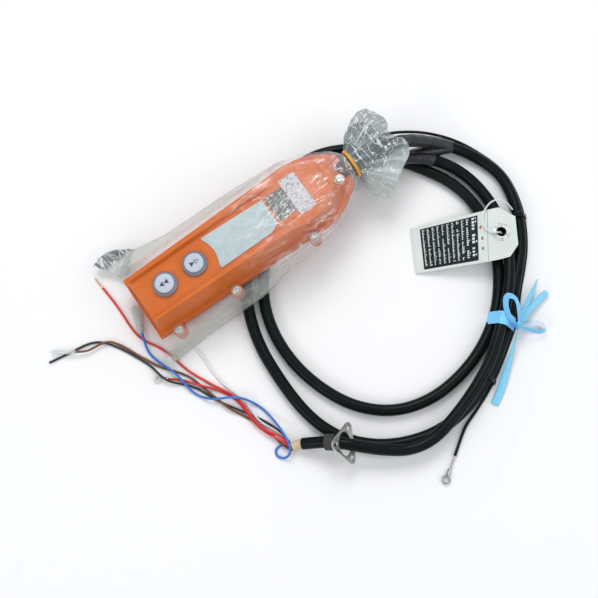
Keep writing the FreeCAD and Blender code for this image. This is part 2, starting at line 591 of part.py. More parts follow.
def make_ring_terminal():
    """Crimped ring at the end of the second red core."""
    end = V(*CORES["red_b"][-1])
    way = (end - V(*CORES["red_b"][-2]))
    way.z = 0
    way.normalize()
    side = V(-way.y, way.x, 0)
    barrel = Part.makeCylinder(1.9, 6.0, V(0, 0, 0), V(1, 0, 0)).fuse(
        Part.makeCylinder(1.6, 1.2, V(5.6, 0, 0), V(1, 0, 0)))
    eye = Part.makeCylinder(3.6, 0.9, V(10.2, 0, -0.45)).cut(Part.makeCylinder(2.1, 2, V(10.2, 0, -1)))
    tongue = Part.makeBox(3.2, 3.0, 0.9, V(5.6, -1.5, -0.45)).cut(Part.makeCylinder(2.1, 2, V(10.2, 0, -1)))
    terminal = fuse_all([barrel, tongue, eye])
    return placed(terminal, end, way, side)


def make_sleeve(points, length, radius, tip_radius, drop):
    """Tapered insulating sleeve that carries on from a core's end and drops to the table."""
    end = V(*points[-1])
    way = end - V(*points[-2])
    way.z = 0
    way.normalize()
    way = (way - UP * drop).normalize()
    body = Part.makeCone(radius, tip_radius, length, end, way)
    rims = [e for e in body.Edges if hasattr(e.Curve, "Radius")]
    return body.makeFillet(min(radius, tip_radius) * 0.4, rims)


def make_red_tip():
    """Stripped strands at the end of the first red core."""
    end = V(*CORES["red_a"][-1])
    way = (end - V(*CORES["red_a"][-2])).normalize()
    return Part.makeCone(0.8, 0.5, 13.0, end, way)


# ---- what lies on the cable --------------------------------------------------------------------
def belt_face(circles, grow):
    """Face inside a belt round circles (x, y, r) that are given counter-clockwise."""
    tangents = []
    count = len(circles)
    for i in range(count):
        (x0, y0, r0), (x1, y1, r1) = circles[i], circles[(i + 1) % count]
        length = math.hypot(x1 - x0, y1 - y0)
        ux, uy = (x1 - x0) / length, (y1 - y0) / length
        sine = (r0 - r1) / length
        cosine = math.sqrt(1 - sine ** 2)
        nx, ny = uy * cosine + ux * sine, -ux * cosine + uy * sine
        tangents.append((nx, ny, V(x0 + nx * (r0 + grow), y0 + ny * (r0 + grow), 0),
                         V(x1 + nx * (r1 + grow), y1 + ny * (r1 + grow), 0)))
    edges = []
    for i in range(count):
        nx, ny, start, end = tangents[i]
        edges.append(Part.makeLine(start, end))
        x, y, r = circles[(i + 1) % count]
        after = tangents[(i + 1) % count]
        angle_in = math.atan2(ny, nx)
        swing = (math.atan2(after[1], after[0]) - angle_in) % (2 * math.pi)
        middle = angle_in + swing / 2
        via = V(x + (r + grow) * math.cos(middle), y + (r + grow) * math.sin(middle), 0)
        edges.append(Part.Arc(end, via, after[2]).toShape())
    return Part.Face(Part.Wire(edges))


def make_belt(circles, gap, thickness, width):
    outer = belt_face(circles, gap + thickness).extrude(V(0, 0, width))
    inner = belt_face(circles, gap).extrude(V(0, 0, width))
    band = outer.cut(inner)
    band.translate(V(0, 0, -width / 2))
    return band


def across_cable(i):
    """Middle, outward side and direction of the cable at corner i, seen level."""
    middle, direction = middle_of_bend(CABLE, i)
    direction.z = 0
    direction.normalize()
    return middle, V(-direction.y, direction.x, 0), direction


def local(middle, side, spot):
    """Place of a spot across the cable: how far out and how high over the cable's centre."""
    return (V(*spot) - middle).dot(side), spot[2] - middle.z


TIES = {9: 11, 15: 17}     # cable corner of each tie, and the suspension wire's corner beside it


def make_cable_ties():
    pieces = []
    for corner, beside in TIES.items():
        middle, side, direction = across_cable(corner)
        wire = middle_of_bend(SUSPENSION, beside)[0]
        out, high = local(middle, side, tuple(wire))
        circles = [(0, 0, CABLE_R), (out, high, SUSPENSION_R)]
        belt = make_belt(circles, 0.15, TIE_T, TIE_WIDTH)
        inside = belt_face(circles, 0.15).extrude(V(0, 0, 10))
        inside.translate(V(0, 0, -5))
        head = box(-2.6, 2.6, CABLE_R + 0.3, CABLE_R + 4.4, -3.0, 3.0)
        nub = box(-1.9, 1.9, CABLE_R + 4.4, CABLE_R + 6.4, -0.6, 0.6)
        tie = fuse_all([belt, head.cut(inside), nub])
        pieces.append(placed(tie, middle, side, UP))
    return Part.makeCompound(pieces)


BOW_CORNER = 13            # cable corners under the tape bow: outer lap, inner lap, last lap
BOW_UNDER = (39, 61)


def make_tape_band():
    """Tape round the three strands under the bow."""
    middle, side, direction = across_cable(BOW_CORNER)
    corners = ((-40, -40), (40, -40), (40, 40), (-40, 40), (-40, -40))
    slice_face = Part.Face(Part.makePolygon([middle + side * a + UP * b for a, b in corners]))
    circles = [(0, 0, CABLE_R)]
    for corner in BOW_UNDER:
        strand = Part.Wire(cord_edges(CABLE[corner - 2:corner + 3]))
        spot = strand.section(slice_face)
        out, high = local(middle, side, tuple(spot.Vertexes[0].Point))
        circles.append((out, high, CABLE_R))
    ordered = [circles[0], circles[2], circles[1]]
    return placed(make_belt(ordered, 0.35, 0.3, 13.0), middle, side, UP)


KNOT_AT = V(218, 163, 13.2)


def make_tape_knot():
    knot = Part.makeSphere(1.0)
    shaped = knot.transformGeometry(FreeCAD.Matrix(4.6, 0, 0, 0, 0, 3.6, 0, 0, 0, 0, 3.6, 0, 0, 0, 0, 1))
    shaped.rotate(V(0, 0, 0), UP, -50)
    shaped.translate(KNOT_AT)
    return shaped


def ribbon(path, across, width, thickness=0.3):
    """Strip of tape through the points of a path, its width along one direction."""
    points = [V(*p) for p in path]
    across = V(*across).normalize()
    sections = []
    for i, spot in enumerate(points):
        way = (points[min(i + 1, len(points) - 1)] - points[max(i - 1, 0)]).normalize()
        wide = (across - way * across.dot(way)).normalize()
        thick = way.cross(wide)
        ring_points = [spot + wide * (a * width / 2) + thick * (b * thickness / 2)
                       for a, b in ((-1, -1), (1, -1), (1, 1), (-1, 1), (-1, -1))]
        sections.append(Part.makePolygon(ring_points))
    return Part.makeLoft(sections, True, True)


def upright_strip(path, low, width, thickness=0.3):
    """Strip of tape standing on its edge along a flat path."""
    near, far = [], []
    for i, (x, y) in enumerate(path):
        before = path[max(i - 1, 0)]
        after = path[min(i + 1, len(path) - 1)]
        way = V(after[0] - before[0], after[1] - before[1], 0).normalize()
        side = V(-way.y, way.x, 0) * (thickness / 2)
        near.append(V(x, y, low) + side)
        far.append(V(x, y, low) - side)
    edge = near + far[::-1]
    return Part.Face(Part.makePolygon(edge + edge[:1])).extrude(V(0, 0, width))


def make_tape_loops():
    upper = ribbon([(216, 166, 17.5), (210, 169, 22), (199, 171, 25), (190, 173, 26.5), (190, 169, 30),
                    (200, 165, 30), (211, 163, 25), (217, 162, 18)], (0.65, -0.76, 0), 7.0)
    right = upright_strip([(220, 168), (221, 177), (228, 184), (235, 184.5), (236, 179), (228, 171),
                           (222, 165.5)], 3.0, 7.0)
    return Part.makeCompound([upper, right])


def make_tape_tails():
    tails = [
        ribbon([(216.5, 168, 12), (212, 179, 9.5), (203, 195, 7), (191, 209, 5.5)], (0.76, 0.65, 0.3), 7.0),
        ribbon([(220, 169, 10.5), (219, 183, 5), (213, 197, 3), (207, 210, 2)], (0.9, 0.3, 0.1), 5.0),
        ribbon([(223, 159, 9), (235, 147.5, 5), (245, 134, 4), (254.5, 121, 4), (265, 105, 3),
                (270.5, 98, 1.5)],
               (0.8, 0.55, 0.15), 6.5)]
    return Part.makeCompound(tails)


def make_tape_wrap():
    """Insulating tape wound on the cable where it comes down to the table."""
    edges = cord_edges(CABLE)
    first = run_halves(edges[4])[1]
    last = run_halves(edges[8])[0]
    chain = [first] + edges[5:8] + [last]
    return sweep(chain, CABLE_R + 0.7).cut(sweep(chain, CABLE_R + 0.02))


def make_suspension_core():
    """Bare strand between the sheathed wire's end and its eye."""
    end = V(*SUSPENSION[-1])
    return Part.makeCylinder(0.9, 14.0, end, V(8, -12, 0).normalize())


def make_suspension_eye():
    """Crimped eye that hooks the suspension wire to the hoist."""
    way = V(8, -12, 0).normalize()
    start = V(*SUSPENSION[-1]) + way * 14.0
    barrel = Part.makeCylinder(2.0, 7.0, V(0, 0, 0), V(1, 0, 0))
    eye = Part.makeCylinder(4.4, 1.4, V(10.4, 0, -0.7)).cut(Part.makeCylinder(2.6, 3, V(10.4, 0, -1.5)))
    return placed(fuse_all([barrel, eye]), start, way, V(-way.y, way.x, 0))


# ---- tag ---------------------------------------------------------------------------------------
TAG_Z = 20.3
TAG_AT = V(132.9, 204.3, TAG_Z)
TAG_T = 0.8
TAG_FAR = [(74.8, 137.1, 0.9), (116.3, 113.7, 0.9)]
TAG_FOLD = [(106.7, 207.9, TAG_Z), (150.8, 175.6, TAG_Z)]
TAG_END = [(110.5, 217.6, TAG_Z), (127.8, 225.8, TAG_Z), (153.0, 210.2, TAG_Z), (158.5, 196.0, TAG_Z),
           (155.1, 186.1, TAG_Z)]


def make_tag_card():
    slope = Part.makeRuledSurface(Part.makeLine(V(*TAG_FAR[0]), V(*TAG_FAR[1])),
                                  Part.makeLine(V(*TAG_FOLD[0]), V(*TAG_FOLD[1])))
    border = [TAG_FOLD[0]] + TAG_END + [TAG_FOLD[1], TAG_FOLD[0]]
    end = Part.Face(Part.makePolygon([V(*p) for p in border]))
    card = slope.extrude(UP * TAG_T).fuse(end.extrude(UP * TAG_T))
    return card.cut(Part.makeCylinder(6.4, 10, TAG_AT - UP * 5))


def make_tag_grommet():
    rim = Part.makeCylinder(9.0, 0.6, TAG_AT + UP * TAG_T)
    tube = Part.makeCylinder(6.4, TAG_T + 0.3, TAG_AT)
    return rim.fuse(tube).cut(Part.makeCylinder(5.0, 10, TAG_AT - UP * 5))


# ---- labels and the bag ------------------------------------------------------------------------
def make_nameplate():
    """Metal plate in the channel over the buttons, with a scooped lower edge."""
    border = [(-17.6, 84.4), (-14.2, 153.7), (13.8, 153.2), (18.5, 143.0), (18.5, 85.2), (-17.6, 84.4)]
    plate = Part.Face(Part.makePolygon([V(u, s, FACE_H) for u, s in border])).extrude(UP * 0.8)
    return plate.cut(post(0.0, 84.4 - 27.0, FACE_H - 1, FACE_H + 2, 31.0))


def make_label(s0, s1, half):
    return box(-half, half, s0, s1, FACE_H, FACE_H + 0.3)


BAG_T = 0.35
# (s, then half-width and height of the bottom edge, lower side, flap, shoulder and crest)
BAG_SECTIONS = [
    (-4.0, [(24, 0.35), (36, 8), (42, 20), (37, 38), (25, 50)]),
    (2.5, [(30, -0.5), (41, 8), (46, 20), (41, 38), (27, 55.6)]),
    (10.0, [(30, -0.45), (45, 9.5), (49, 20), (44, 38), (28.5, 58)]),
    (60.0, [(30, -0.45), (47, 9.5), (51, 24), (45, 40), (29.5, 58.4)]),
    (150.0, [(31, -0.45), (47, 9.5), (50, 24), (45, 42), (31, 57)]),
    (188.0, [(31, -0.45), (46.5, 9.5), (48, 22), (42, 40), (30, 54)]),
    (215.0, [(26, -0.45), (33, 8), (37, 24), (31, 40), (20, 52)]),
    (234.5, [(14, -0.45), (21, 9), (24.5, 24), (20, 38), (10, 48)]),
    (240.0, [(9, 8.5), (15, 13.5), (19.5, 24), (15, 34.8), (7, 40)]),
    (244.5, [(6, 12.4), (10.6, 17.5), (12.8, 26), (10.4, 35), (5.2, 38.8)]),
    (245.4, [(4.6, 14.4), (9.4, 18.2), (12.4, 26.2), (9.4, 34.4), (4.6, 38.0)]),
    (250.0, [(4.6, 14.4), (9.4, 18.2), (12.4, 26.2), (9.4, 34.4), (4.6, 38.0)]),
    (262.0, [(14, 10), (22, 17), (27, 28), (21, 40), (9, 46)]),
    (284.0, [(22, 4), (32, 15), (38, 30), (30, 44), (12, 52)])]
FLAP_Z = 8.3
FLAPS = [
    [(-40, -127), (-60, -152), (-60, -124), (-41.2, -108)],
    [(40, -127), (60, -141), (60, -110), (41.2, -100)]]


def bag_loft(inset, first_shift=0.0, last_shift=0.0):
    wires = []
    last = len(BAG_SECTIONS) - 1
    for k, (s, half) in enumerate(BAG_SECTIONS):
        s += first_shift if k == 0 else 0.0
        s += last_shift if k == last else 0.0
        low, high = half[0][1], half[-1][1]
        middle = (low + high) / 2
        right = [(u - inset, h + inset if h < middle else h - inset) for u, h in half]
        loop = [V(u, s, h) for u, h in right] + [V(-u, s, h) for u, h in reversed(right)]
        wires.append(Part.makePolygon(loop + [loop[0]]))
    return Part.makeLoft(wires, True, True)


def make_poly_bag():
    """Clear bag gathered at the neck: a thin skin, shut past the buttons and open at its tail."""
    film = pitched(bag_loft(0.0).cut(bag_loft(BAG_T, BAG_T, 1.0)))
    for border in FLAPS:
        flat = Part.makePolygon([V(x, y, FLAP_Z) for x, y in border + border[:1]])
        film = film.fuse(Part.Face(flat).extrude(UP * 0.5))
    return film


def make_rubber_band():
    """Amber band round the gathered neck of the bag."""
    band = Part.makeCylinder(15.0, 3.6, V(0, 245.6, 26.2), V(0, 1, 0))
    return band.makeFillet(1.4, list(band.Edges[i] for i in (0, 2))).cut(
        Part.makeCylinder(12.9, 6.0, V(0, 244, 26.2), V(0, 1, 0)))


# ---- leads inside the case ----------------------------------------------------------------------
INLET_S = 196.0


def make_cable_inlet():
    """The cable's stretch through the bushing and the clamp."""
    first, second = (V(*p) for p in CABLE[:2])
    start = point(0, INLET_S, CABLE_H)
    return Part.makeCylinder(CABLE_R, (first - V(*start)).Length, V(*start), first - V(*start))


def make_inner_leads():
    """Four leads to the terminals and two spare cores folded back."""
    leads = []
    for side, spare_h in ((-1, (21.2, 19, 17, 17)), (1, (28.9, 30, 32, 33))):
        to_upper = ((2.6, INLET_S, 26.5), (6, 184, 27), (12, 160, 27), (12.5, 130, 27),
                    (12, 104, 27.6), (9.6, 88, 27), (7.5, 78.6, 23.4))
        to_lower = ((2.6, INLET_S, 23.5), (8, 182, 23), (16, 160, 23), (18.5, 130, 23),
                    (18.5, 100, 23), (18.5, 72, 23.6), (14.5, 54, 24.2), (7.5, 44.6, 23.4))
        spare = zip((1.4, 5, 9, 9), (INLET_S, 180, 160, 140), spare_h)
        for lead in (to_upper, to_lower, spare):
            leads.append([(side * u, s, h) for u, s, h in lead])
    tubes = [sweep(cord_edges([point(*p) for p in lead]), WIRE_R) for lead in leads]
    return Part.makeCompound(tubes)


save("rear_case", pitched(make_rear_case()))
save("front_cover", pitched(make_front_cover()))
save("cover_gasket", pitched(make_gasket()))
save("cover_screws", pitched(make_cover_screws()))
save("screw_washers", pitched(make_screw_washers()))
for name, s in BUTTONS.items():
    save(name + "_bezel", pitched(make_bezel(s)))
    save(name + "_cap", pitched(make_cap(s)))
    save(name + "_stem", pitched(make_stem(s)))
    save(name + "_clip", pitched(make_clip(s)))
    save(name + "_bridge", pitched(make_bridge(s)))
    save(name + "_spring", pitched(make_spring(s)))
save("bezel_nuts", pitched(Part.makeCompound([make_bezel_nut(s) for s in BUTTONS.values()])))
save("contact_block", pitched(make_contact_block()))
save("fixed_contacts", pitched(make_fixed_contacts()))
save("terminal_screws", pitched(make_terminal_screws()))
save("block_screws", pitched(make_block_screws()))
save("cable_clamp", pitched(make_cable_clamp()))
save("clamp_screws", pitched(make_clamp_screws()))
save("cable_bushing", pitched(make_cable_bushing()))
save("cable_inlet", make_cable_inlet())
save("inner_leads", make_inner_leads())
make_cable()
save("suspension_wire", make_cord("suspension_wire", SUSPENSION, SUSPENSION_R))
save("suspension_core", make_suspension_core())
save("suspension_eye", make_suspension_eye())
for colour, route in CORES.items():
    save("wire_" + colour, make_cord("wire_" + colour, route, WIRE_R))
save("ring_terminal", make_ring_terminal())
save("brown_sleeve", make_sleeve(CORES["brown"], 24.0, 2.3, 2.2, 0.08))
save("blue_sleeve", make_sleeve(CORES["blue"], 26.0, 3.1, 2.8, 0.01))
save("red_tip", make_red_tip())
save("flange_plate", make_flange_plate())
save("cable_collar", make_cable_collar())
save("inner_sheath", make_inner_sheath())
save("tape_wrap", make_tape_wrap())
save("cable_ties", make_cable_ties())
save("tape_band", make_tape_band())
save("tape_knot", make_tape_knot())
save("tape_loops", make_tape_loops())
save("tape_tails", make_tape_tails())
save("tag_card", make_tag_card())
save("tag_grommet", make_tag_grommet())
save("tag_loop", make_cord("tag_loop", TAG_LOOP, 0.9))
save("nameplate", pitched(make_nameplate()))
save("dark_label", pitched(make_label(155.5, 175.5, 14.0)))
save("white_label", pitched(make_label(176.0, 194.0, 20.0)))
save("poly_bag", make_poly_bag())
save("rubber_band", pitched(make_rubber_band()))
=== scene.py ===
"""Looks of the bagged two-button pendant station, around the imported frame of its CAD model.

Metres, in the row frame: +Y along the pendant towards its cable end, +X to its right, +Z up.
The pendant's own axes are u across, s along from the button end and h up from its back, in
millimetres, as in the part's source: pendant(u, s, h) gives the frame's point.
"""
import json
import math
from functools import partial

import bpy
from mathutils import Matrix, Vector, noise


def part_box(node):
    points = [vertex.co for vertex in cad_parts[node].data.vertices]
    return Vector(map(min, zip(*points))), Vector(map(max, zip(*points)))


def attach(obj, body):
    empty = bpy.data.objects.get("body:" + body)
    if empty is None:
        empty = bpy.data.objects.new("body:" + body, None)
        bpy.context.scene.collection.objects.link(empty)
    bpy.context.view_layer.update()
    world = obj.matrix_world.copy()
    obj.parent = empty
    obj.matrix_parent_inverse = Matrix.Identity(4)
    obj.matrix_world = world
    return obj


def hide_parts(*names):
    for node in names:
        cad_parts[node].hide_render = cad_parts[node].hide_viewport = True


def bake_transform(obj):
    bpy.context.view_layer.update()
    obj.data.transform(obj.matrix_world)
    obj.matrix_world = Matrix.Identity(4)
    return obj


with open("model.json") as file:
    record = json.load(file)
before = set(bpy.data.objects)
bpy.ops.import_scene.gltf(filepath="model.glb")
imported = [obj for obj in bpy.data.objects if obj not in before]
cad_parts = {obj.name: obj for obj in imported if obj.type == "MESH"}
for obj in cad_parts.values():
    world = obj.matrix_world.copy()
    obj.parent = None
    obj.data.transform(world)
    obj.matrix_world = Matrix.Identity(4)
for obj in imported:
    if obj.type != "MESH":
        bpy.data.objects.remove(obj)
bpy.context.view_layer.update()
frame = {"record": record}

MM = 0.001
PITCH = math.radians(7.0)      # nose-up lean of the pendant on the cable under it
BUTTON_END_Y = -129.0          # y of the button end, in millimetres
FLOOR_GAP = 0.6                # height of the back's low edge, in millimetres
ROOT = "station"
TABLE_GAP = 0.0004             # least height of soft pieces over the table
UPWARD = Vector((0, 0, 1))


def pendant(u, s, h):
    """Point of the frame, in metres, from the pendant's own axes in millimetres."""
    y = BUTTON_END_Y + s * math.cos(PITCH) - h * math.sin(PITCH)
    z = FLOOR_GAP + s * math.sin(PITCH) + h * math.cos(PITCH)
    return Vector((u, y, z)) * MM


# ---- camera --------------------------------------------------------------------------------------
CAMERA_AT = Vector((0.321, -0.170, 1.057))
CAMERA_TARGET = Vector((0.071, 0.002, 0.0))
LENS_MM = 66.22

camera_data = bpy.data.cameras.new("camera")
camera_data.lens = LENS_MM
camera_data.sensor_width = 36.0
camera = bpy.data.objects.new("camera", camera_data)
camera.location = CAMERA_AT
camera.rotation_euler = (CAMERA_TARGET - CAMERA_AT).to_track_quat("-Z", "Y").to_euler()
bpy.context.scene.collection.objects.link(camera)
bpy.context.scene.camera = camera


# ---- making pieces -------------------------------------------------------------------------------
def link(name, data, body=ROOT):
    """New object for a mesh or a curve, riding on a body unless it is None."""
    piece = bpy.data.objects.new(name, data)
    bpy.context.scene.collection.objects.link(piece)
    if body:
        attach(piece, body)
    return piece


def mesh_piece(name, points, faces, body=ROOT, smooth=True):
    """Mesh object from points and faces, riding on a body."""
    data = bpy.data.meshes.new(name)
    data.from_pydata([tuple(p) for p in points], [], faces)
    data.validate()
    for polygon in data.polygons:
        polygon.use_smooth = smooth
    return link(name, data, body)


def grid_faces(rows, columns, closed=False):
    """Quads of a grid of points, row after row; closed joins the last column to the first."""
    faces = []
    for i in range(rows - 1):
        for j in range(columns if closed else columns - 1):
            k = (j + 1) % columns
            row, next_row = i * columns, (i + 1) * columns
            faces.append((row + j, row + k, next_row + k, next_row + j))
    return faces


def route_curve(name, points, radius):
    """Round cord on a smooth NURBS line that has the route's points as its control points."""
    data = bpy.data.curves.new(name, "CURVE")
    data.dimensions = "3D"
    spline = data.splines.new("NURBS")
    spline.points.add(len(points) - 1)
    for control, place in zip(spline.points, points):
        control.co = (*place, 1.0)
        control.radius = radius      # a curve's box takes in this radius round each point
    spline.order_u = 3
    spline.use_endpoint_u = True
    spline.resolution_u = 8
    data.bevel_depth = 1.0 if radius > 0 else 0.0
    data.bevel_resolution = 6
    data.use_fill_caps = radius > 0
    return data


def centreline(points):
    """Points read along the route's own NURBS line."""
    bare = bpy.data.objects.new("line", route_curve("line", points, 0.0))
    line = bpy.data.meshes.new_from_object(bare)
    places = [v.co.copy() for v in line.vertices]
    bpy.data.objects.remove(bare)
    return places


def side_of(way):
    """Two directions square to a way, the second as near upright as can be."""
    across = way.cross(UPWARD).normalized()
    return across, across.cross(way).normalized()


def tube_along(name, line, radius, sides=20, body=ROOT):
    """Mesh tube round a line; radius is a function of the distance along it and the turn round it."""
    points, gone = [], 0.0
    for i, place in enumerate(line):
        gone += (place - line[i - 1]).length if i else 0.0
        way = (line[min(i + 1, len(line) - 1)] - line[max(i - 1, 0)]).normalized()
        across, up = side_of(way)
        for k in range(sides):
            turn = 2 * math.pi * k / sides
            r = radius(gone, turn)
            points.append(place + across * (r * math.cos(turn)) + up * (r * math.sin(turn)))
    faces = grid_faces(len(line), sides, closed=True)
    faces.append(tuple(range(sides))[::-1])
    faces.append(tuple(range((len(line) - 1) * sides, len(line) * sides)))
    return mesh_piece(name, points, faces, body)


# ---- cords ---------------------------------------------------------------------------------------
# The same routes as the part's source, in metres.
CABLE = [
    (0, 0.1121, 0.0554), (0, 0.134, 0.0581), (0.003, 0.161, 0.052), (0.008, 0.183, 0.04),
    (0.016, 0.203, 0.024), (0.028, 0.222, 0.011), (0.048, 0.237, 0.006), (0.077, 0.247, 0.006),
    (0.101, 0.244, 0.006), (0.127, 0.234, 0.0072), (0.151, 0.219, 0.006), (0.168, 0.203, 0.006),
    (0.186, 0.183, 0.006), (0.207, 0.162, 0.0066), (0.225, 0.137, 0.006), (0.243, 0.107, 0.0072),
    (0.255, 0.074, 0.006), (0.258, 0.04, 0.006), (0.251, 0.01, 0.006), (0.238, -0.016, 0.006),
    (0.219, -0.037, 0.006), (0.197, -0.051, 0.006), (0.169, -0.059, 0.006), (0.132, -0.061, 0.006),
    (0.086, -0.058, 0.006), (0.045, -0.044, 0.006), (0.01, -0.021, 0.006), (-0.018, 0.009, 0.006),
    (-0.039, 0.048, 0.006), (-0.048, 0.09, 0.006), (-0.038, 0.126, 0.006), (-0.017, 0.152, 0.006),
    (0.009, 0.171, 0.006), (0.035, 0.188, 0.006), (0.06, 0.201, 0.006), (0.09, 0.206, 0.006),
    (0.12, 0.202, 0.006), (0.15, 0.19, 0.006), (0.176, 0.172, 0.006), (0.197, 0.151, 0.0066),
    (0.215, 0.122, 0.006), (0.226, 0.088, 0.006), (0.229, 0.05, 0.006), (0.219, 0.014, 0.006),
    (0.195, -0.014, 0.006), (0.164, -0.031, 0.006), (0.126, -0.041, 0.006), (0.085, -0.04, 0.006),
    (0.048, -0.027, 0.006), (0.017, -0.002, 0.006), (-0.007, 0.033, 0.006), (-0.016, 0.078, 0.006),
    (-0.01, 0.118, 0.0095), (0.002, 0.148, 0.0185), (0.014, 0.176, 0.0185), (0.031, 0.199, 0.0145),
    (0.057, 0.217, 0.006), (0.09, 0.221, 0.006), (0.121, 0.216, 0.0075), (0.149, 0.203, 0.013),
    (0.173, 0.186, 0.0155), (0.193, 0.166, 0.0168), (0.212, 0.143, 0.018), (0.232, 0.116, 0.0188),
    (0.247, 0.083, 0.0188), (0.257, 0.051, 0.0185), (0.262, 0.025, 0.016), (0.257, 0.001, 0.0155),
    (0.243, -0.019, 0.018), (0.23, -0.034, 0.0212), (0.218, -0.046, 0.0226), (0.208, -0.057, 0.0198),
    (0.2, -0.068, 0.0136), (0.1935, -0.078, 0.0082)]
SUSPENSION = [
    (0, 0.1052, 0.0641), (0, 0.1209, 0.066), (-0.0015, 0.136, 0.0672), (-0.005, 0.15, 0.064),
    (-0.0055, 0.163, 0.0575), (0, 0.186, 0.042), (0.007, 0.207, 0.025), (0.022, 0.229, 0.0095),
    (0.044, 0.2435, 0.0026), (0.0755, 0.2536, 0.002), (0.103, 0.2504, 0.002), (0.13, 0.2402, 0.0031),
    (0.155, 0.2243, 0.002), (0.1727, 0.2075, 0.002), (0.1907, 0.1875, 0.002), (0.213, 0.167, 0.0022),
    (0.2304, 0.1406, 0.002), (0.2493, 0.1102, 0.0031), (0.263, 0.076, 0.002), (0.2675, 0.062, 0.002),
    (0.276, 0.049, 0.002), (0.285, 0.036, 0.0023)]
CORES = {
    "black": [
        (0.187, -0.0875, 0.0062), (0.176, -0.087, 0.0028), (0.1645, -0.0905, 0.0013),
        (0.151, -0.0965, 0.0013), (0.1405, -0.1035, 0.0013), (0.1305, -0.1095, 0.0013),
        (0.121, -0.116, 0.0013), (0.11, -0.1225, 0.0013), (0.099, -0.127, 0.0013),
        (0.0885, -0.132, 0.0013), (0.0785, -0.1405, 0.0013), (0.072, -0.148, 0.0036),
        (0.0655, -0.1525, 0.006), (0.0565, -0.155, 0.0058), (0.0455, -0.1565, 0.0013),
        (0.0335, -0.162, 0.0013), (0.0205, -0.168, 0.0013), (0.011, -0.1735, 0.0013),
        (0.002, -0.1795, 0.0013), (-0.0055, -0.1875, 0.0013), (-0.009, -0.197, 0.0013),
        (-0.0105, -0.21, 0.0013), (-0.012, -0.224, 0.0013), (-0.014, -0.237, 0.0013)],
    "brown": [
        (0.193, -0.0895, 0.0062), (0.1865, -0.0935, 0.0042), (0.1785, -0.095, 0.0034),
        (0.1675, -0.097, 0.0016), (0.157, -0.1005, 0.0013), (0.144, -0.106, 0.0013),
        (0.1345, -0.111, 0.0013), (0.1245, -0.117, 0.0042), (0.111, -0.121, 0.0042),
        (0.099, -0.124, 0.0013), (0.0895, -0.127, 0.0013), (0.077, -0.1305, 0.0013),
        (0.067, -0.137, 0.0013), (0.0585, -0.144, 0.0013), (0.0495, -0.151, 0.0013),
        (0.04, -0.1555, 0.0013), (0.029, -0.1615, 0.0013), (0.017, -0.1665, 0.0013),
        (0.0095, -0.171, 0.0025), (0.003, -0.176, 0.0042), (-0.0005, -0.183, 0.0042),
        (-0.001, -0.192, 0.0044), (-0.002, -0.202, 0.005), (-0.0075, -0.21, 0.0057)],
    "red_a": [
        (0.1885, -0.088, 0.0088), (0.18, -0.089, 0.0066), (0.1705, -0.0945, 0.0068),
        (0.163, -0.0995, 0.0067), (0.1535, -0.1025, 0.0067), (0.143, -0.1035, 0.0067),
        (0.134, -0.1035, 0.0067), (0.126, -0.104, 0.0067), (0.117, -0.106, 0.004),
        (0.1075, -0.1105, 0.0039), (0.098, -0.116, 0.0022), (0.0875, -0.121, 0.0013),
        (0.0775, -0.126, 0.0013), (0.0675, -0.13, 0.0013), (0.0555, -0.133, 0.0013),
        (0.044, -0.136, 0.0013), (0.033, -0.1405, 0.0013), (0.0225, -0.147, 0.0013),
        (0.0125, -0.151, 0.0013), (-0.001, -0.152, 0.0013), (-0.0185, -0.1515, 0.0013),
        (-0.0345, -0.152, 0.0013), (-0.0495, -0.1535, 0.0013)],
    "red_b": [
        (0.1915, -0.089, 0.0088), (0.1825, -0.091, 0.0064), (0.173, -0.0965, 0.0052),
        (0.163, -0.101, 0.0041), (0.1535, -0.104, 0.004), (0.143, -0.105, 0.0041),
        (0.132, -0.105, 0.0041), (0.122, -0.106, 0.002), (0.1115, -0.11, 0.0013),
        (0.102, -0.1165, 0.0013), (0.094, -0.1235, 0.0039), (0.0855, -0.131, 0.0039),
        (0.0765, -0.137, 0.0013), (0.0705, -0.1435, 0.0013), (0.066, -0.15, 0.0022)],
    "white": [
        (0.1885, -0.088, 0.0036), (0.179, -0.088, 0.0016), (0.1685, -0.091, 0.0013),
        (0.161, -0.095, 0.0013), (0.153, -0.099, 0.003), (0.144, -0.1005, 0.004),
        (0.133, -0.0995, 0.0013), (0.122, -0.101, 0.0013), (0.112, -0.1045, 0.0013),
        (0.1025, -0.1075, 0.0013), (0.0915, -0.1095, 0.0013), (0.079, -0.1098, 0.0013),
        (0.068, -0.1095, 0.0013), (0.056, -0.1105, 0.0013)],
    "blue": [
        (0.1915, -0.089, 0.0036), (0.1845, -0.092, 0.0016), (0.1815, -0.0965, 0.0013),
        (0.183, -0.103, 0.0013), (0.1895, -0.1045, 0.0013), (0.195, -0.0995, 0.0018),
        (0.195, -0.093, 0.0085), (0.187, -0.0885, 0.013), (0.174, -0.0875, 0.0105),
        (0.162, -0.0875, 0.0055), (0.148, -0.0885, 0.0014), (0.137, -0.092, 0.0014),
        (0.1285, -0.097, 0.0045), (0.1225, -0.1025, 0.009), (0.1165, -0.1105, 0.009),
        (0.112, -0.119, 0.0066), (0.1065, -0.127, 0.005), (0.099, -0.133, 0.0013),
        (0.0905, -0.137, 0.0022), (0.083, -0.1385, 0.0041), (0.0735, -0.1395, 0.0041),
        (0.064, -0.1415, 0.0041), (0.0545, -0.145, 0.0041), (0.045, -0.1485, 0.0013),
        (0.036, -0.151, 0.0013), (0.0275, -0.1505, 0.0028), (0.0195, -0.148, 0.0044),
        (0.0105, -0.1455, 0.0034)],
}
